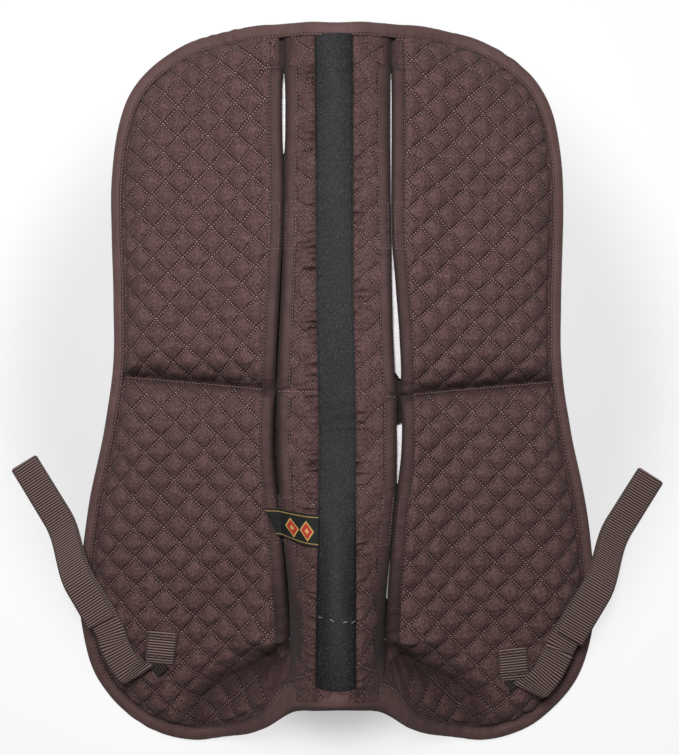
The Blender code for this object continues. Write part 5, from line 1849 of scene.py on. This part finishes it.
@dataclass
class Billet(OnSide):
    """One webbing strap: its sewn end, and the free part with a doubled loop.

    Attributes:
        tilt: How far the sewn end is turned, in degrees.
        turn: Plan points from the lower fold to the strap's straight run.
        slant: How much the lower fold leans, as a share of the width.
        overlap: Where the doubled part begins.
        end: Where the strap turns back on itself.
    """

    tilt: float
    turn: tuple[tuple[float, float], ...]
    slant: float
    overlap: tuple[float, float]
    end: tuple[float, float]
    width: float = 0.0250
    thickness: float = 0.0017
    sewn_length: float = 0.0255
    over_cloth: float = 0.0027
    edge_height: float = 0.0286
    fold_rise: float = 0.0030
    fall_length: float = 0.058

    def _section(self) -> Array:
        """Closed section of the webbing: flat, with rounded selvedges."""
        across = np.linspace(-1.0, 1.0, 19)
        rim = np.sqrt(np.maximum(1.0 - np.abs(across) ** 16, 0.03))
        upper = np.stack([across * self.width / 2, self.thickness / 2 * rim], 1)
        return np.vstack([upper[::-1], upper[1:-1] * (1, -1)])

    def _ribbon(self, name: str, line: Array, material: Fabric, start: float = 0.0,
                slant: float = 0.0, shift: Array | float = 0.0) -> Piece:
        """A webbing ribbon along a line in space.

        Each ring is the section, turned square to the line; across stays level.

        Args:
            name: The piece's name.
            line: Points in space.
            material: The webbing's finish.
            start: Distance walked before the line, for the UV map.
            slant: How much the first rings lean, as a share of the width.
            shift: How far each ring is moved aside.

        Returns:
            The object.
        """
        ahead = directions(line)
        way = np.asarray(self.end) - np.asarray(self.overlap)
        steady = np.array([way[1], -way[0], 0.0]) / np.linalg.norm(way)
        across = np.column_stack([ahead[:, 1], -ahead[:, 0], np.zeros(len(line))])
        across[np.linalg.norm(ahead[:, :2], axis=1) < 0.35] = steady
        across = unit(across * np.sign((across * steady).sum(1, keepdims=True)))
        over = np.cross(across, ahead)
        section = self._section()
        run = walked(line) + start
        lean = slant * (1.0 - ease((run - start) / 0.022))[:, None] * ahead
        points = ((line + across * np.reshape(shift, (-1, 1)))[:, None]
                  + section[None, :, :1] * (across + lean)[:, None] + section[None, :, 1:] * over[:, None])
        uv = np.stack([np.repeat(run[:, None], len(section), 1),
                       np.repeat(section[None, :, 0], len(run), 0)], -1)
        return closed_tube(name, points, uv, material)

    def build(self) -> None:
        """Builds the sewn end, its zigzag stitches, the tuck under it and the free strap."""
        label, panel = self.side.label, self.side.panel
        angle = math.radians(self.tilt)
        way = np.array([-math.sin(angle), math.cos(angle)]) * self.sewn_length / 2
        plan = (np.asarray(STRAP_ENDS[self.side]) * (self.side.value, 1)
                + way * np.linspace(1.0, -1.0, 15)[:, None])
        cloth = SHAPE.panel_top(plan[:, 0], plan[:, 1]) + self.over_cloth
        line = np.column_stack([plan, (cloth.mean() + cloth) / 2 + self.thickness / 2 + 0.0003])
        line[:, 2] -= 0.0006 * np.linspace(-1, 1, len(line)) ** 8
        settle(self._ribbon(f"sewn_strap_end_{label}", line, self.wardrobe.webbing), "webbing", panel,
               stands_for=f"strap_anchor_{label}")
        self._zigzag(line)
        start, fold = line[-3], np.array([*self.turn[0], line[-1, 2] - 0.0008])
        tuck = np.linspace(start - (0.0, 0.0, 0.0022), start + (fold - start) * 0.55, 9)
        # The tuck is made of dark webbing, a painted shade in the fold under the sewn end.
        settle(self._ribbon(f"strap_tuck_{label}", tuck, self.wardrobe.folded_webbing), "webbing", panel)
        self._free_part()
        LOG.info("strap %s built", label)

    def _zigzag(self, line: Array) -> None:
        """Two rows of zigzag stitches across the sewn end, near its upper and lower edges."""
        ahead = directions(line)[len(line) // 2]
        across = np.array([ahead[1], -ahead[0], 0.0])
        t = np.linspace(-1.0, 1.0, 23)[:, None]
        swing = np.where(np.arange(23) % 2 == 0, 1.0, -1.0)[:, None] * 0.0013
        rows = [line[int(share * (len(line) - 1))] + (0.0, 0.0, self.thickness / 2 + 0.0001)
                + t * across * 0.0108 + swing * ahead for share in (0.16, 0.84)]
        made = Stitching(0.0013, 0.0014, 0.00030).make(f"zigzag_stitches_{self.side.label}", rows,
                                                        self.wardrobe.dark_thread)
        settle(made, "webbing", self.side.panel)

    def _free_part(self) -> None:
        """The free strap: out over the pad's edge, down to the table, and doubled back on itself."""
        overlap, end = np.asarray(self.overlap), np.asarray(self.end)
        plan = through([*self.turn, overlap, overlap + (end - overlap) * 0.5, end], 14)
        run = walked(plan)
        held = inside(np.vstack([SHAPE.outline, [[0.0, 0.0]]]), np.abs(plan[:, 0]), plan[:, 1])
        table = self.thickness / 2 + 0.0004
        fold = ease(run / 0.010) * (1.0 - ease((run - 0.010) / 0.030))
        top = self.edge_height + self.fold_rise * fold
        share = ease((run - run[int(np.argmin(held))] + 0.022) / self.fall_length)
        lower = np.column_stack([plan, top + (table - top) * share])
        rise = self.thickness + 0.0005
        bend = lower[-1] + (0.0, 0.0, rise / 2) + directions(lower)[-1] * 0.6 * rise
        first = int(np.linalg.norm(plan - overlap, axis=1).argmin())
        back = (lower[first:] + (0.0, 0.0, rise))[::-1]
        back[:, 2] += 0.0014 * ease(np.linspace(-1.5, 1.0, len(back)))
        shift = np.concatenate([np.zeros(len(lower) + 1), 0.0016 * ease(np.linspace(0.0, 1.0, len(back)))])
        made = self._ribbon(f"free_strap_{self.side.label}", np.vstack([lower, bend, back]),
                            self.wardrobe.webbing, 0.03, self.slant, shift * self.side.value)
        settle(made, "webbing", self.side.panel, f"{self.side.label}_billet",
               bend=[tuple(lower[int(np.searchsorted(run, at))]) for at in (0.006, 0.030)],
               stands_for=f"strap_{self.side.label}")


@dataclass
class Label:
    """The label, sewn under the tape's left edge, with its free end curling up over the slit."""

    wardrobe: Wardrobe
    length: float = 0.0440
    width: float = 0.0240
    thickness: float = 0.0006
    x: float = -0.0150
    y: float = -0.114
    cut_back: float = 0.11
    curl: float = 0.0045

    def build(self) -> None:
        """Builds the label as a thin closed sheet.

        Across t from -1 to 1 and along s from 0 to 1, the free edge is cut back by the cut-back
        times (1 - t) of the length, and the height adds the curl times s to the power 3.
        """
        s, t = np.meshgrid(np.linspace(0.0, 1.0, 41), np.linspace(-1.0, 1.0, 23), indexing="ij")
        x = self.x - s * (self.length * (1.0 - self.cut_back * (1.0 - t)))
        y = self.y + t * self.width / 2 * (1.0 - 0.04 * s) + 0.003 * s * s
        base = SHAPE.band_top(x, y) + 0.0036 - 0.0012 * ease(1.0 - s / 0.25)
        z = base + self.curl * s ** 3 * (0.4 + 0.6 * ease(0.5 + 0.5 * t)) + 0.0005 * np.sin(s * 7.0 + t)
        upper = np.stack([x, y, z], -1).reshape(-1, 3)
        index = np.arange(s.size).reshape(s.shape)
        quads = np.stack([index[:-1, :-1], index[:-1, 1:], index[1:, 1:], index[1:, :-1]], -1).reshape(-1, 4)
        flat = np.stack([s * self.length, t * self.width / 2], -1).reshape(-1, 2)
        made = mesh_object("label", np.vstack([upper, upper - (0.0, 0.0, self.thickness)]),
                           closed_sheet(quads, s.size, upper[:, :2])[0], self.wardrobe.label,
                           np.vstack([flat, flat]))
        made.data.set_sharp_from_angle(angle=math.radians(60.0))
        settle(made, "woven_label", "spine", "left_panel", bend=across_bend(Side.LEFT, 0.043, 0.057),
               stands_for="woven_label")
        LOG.info("label built")


@dataclass
class HandStitches:
    """Stitch rows that stand out: the slits' closed front ends and the loose tape stitches."""

    wardrobe: Wardrobe
    slit_end_y: float = 0.2635
    loose: tuple[Point, ...] = ((-0.0150, -0.0105, -0.1752), (-0.0060, -0.0030, -0.1758),
                                (0.0040, 0.0085, -0.1772), (0.0105, 0.0150, -0.1780))

    def build(self) -> None:
        """Builds the rows on their bodies."""
        for side in Side:
            for word, near, far, surface, body in (
                    ("panel", 0.0024, 0.021, SHAPE.panel_top, side.panel),
                    ("spine", -0.0140, -0.0024, SHAPE.band_top, "spine")):
                x = SHAPE.slit_at(SHAPE.mouth_front_y) + np.linspace(near, far, 20)
                y = np.full_like(x, self.slit_end_y)
                rows = [np.column_stack([x * side.value, y, surface(x, y) + 0.0012])]
                made = Stitching(0.0024, 0.0016, 0.00025).make(f"slit_end_stitches_{word}_{side.label}", rows,
                                                                self.wardrobe.thread)
                settle(made, "binding_cotton", body)
        rows = []
        for near, far, along in self.loose:
            x = np.linspace(near, far, 8)
            y = along + 0.0010 * np.sin((x - near) / (far - near) * np.pi)
            rows.append(np.column_stack([x, y, SHAPE.band_top(x, y) + 0.0019]))
        made = Stitching(0.0046, 0.0042, 0.00022).make("loose_tape_stitches", rows, self.wardrobe.pale_thread)
        settle(made, "spine_tape", "spine")
        LOG.info("stitches built")


@dataclass
class Studio:
    """The pale table, the soft light and the camera straight above the pad."""

    wardrobe: Wardrobe
    half_table: float = 3.0
    room_light: float = 0.16
    lamp_place: Point = (-0.07, 0.26, 0.74)
    lamp_size: float = 0.24
    lamp_power: float = 7.4
    camera_place: Point = (0.0, 0.007, 0.600)
    lens: float = 32.51
    shift: float = 0.0029

    def build(self) -> None:
        """Adds the table, the room's light, one lamp that faces the pad, and the camera."""
        scene = bpy.context.scene
        corners = np.array([(-1.0, -1.0, 0.0), (1.0, -1.0, 0.0), (1.0, 1.0, 0.0), (-1.0, 1.0, 0.0)])
        table = mesh_object("table", corners * self.half_table, np.array([[0, 1, 2, 3]]),
                            self.wardrobe.table)
        world = bpy.data.worlds.new("pale_room")
        world.use_nodes = True
        inputs = world.node_tree.nodes["Background"].inputs
        inputs["Color"].default_value = (1.0, 1.0, 1.0, 1.0)
        inputs["Strength"].default_value = self.room_light
        scene.world = world
        lamp = bpy.data.lights.new("key", "AREA")
        lamp.size, lamp.energy, lamp.spread = self.lamp_size, self.lamp_power, math.radians(170.0)
        way = -np.asarray(self.lamp_place)
        held = self._placed("key", lamp, self.lamp_place)
        held.rotation_euler = (math.acos(-way[2] / np.linalg.norm(way)), 0.0,
                               math.atan2(way[0], -way[1]) + math.pi)
        camera = bpy.data.cameras.new("camera")
        camera.lens, camera.sensor_width = self.lens, 36.0
        camera.shift_x, camera.clip_start = self.shift, 0.01
        scene.camera = self._placed("camera", camera, self.camera_place)
        scene.view_settings.view_transform = "Standard"

    @staticmethod
    def _placed(name: str, data: bpy.types.ID, place: Point) -> Piece:
        """Puts a lamp or a camera into the scene."""
        held = bpy.data.objects.new(name, data)
        held.location = place
        bpy.context.scene.collection.objects.link(held)
        return held


def main() -> None:
    """Builds the pad piece by piece, then the studio."""
    logging.basicConfig(level=logging.INFO, format="%(message)s")
    wardrobe = Wardrobe()
    for side in Side:
        for kind in (Panel, SlitBinding, Closures):
            kind(side, wardrobe).build()
    for kind in (EdgeBinding, SpineBand, Label):
        kind(wardrobe).build()
    Billet(Side.LEFT, wardrobe, -7.0, ((-0.1655, -0.2420), (-0.1755, -0.2345), (-0.1858, -0.2190)), -0.44,
           (-0.1955, -0.1960), (-0.2740, -0.0690)).build()
    Billet(Side.RIGHT, wardrobe, 4.5, ((0.1600, -0.2555), (0.1745, -0.2415), (0.1845, -0.2250)), 0.37,
           (0.1920, -0.2095), (0.2740, -0.0800)).build()
    HandStitches(wardrobe).build()
    Studio(wardrobe).build()


if __name__ == "__main__":
    main()
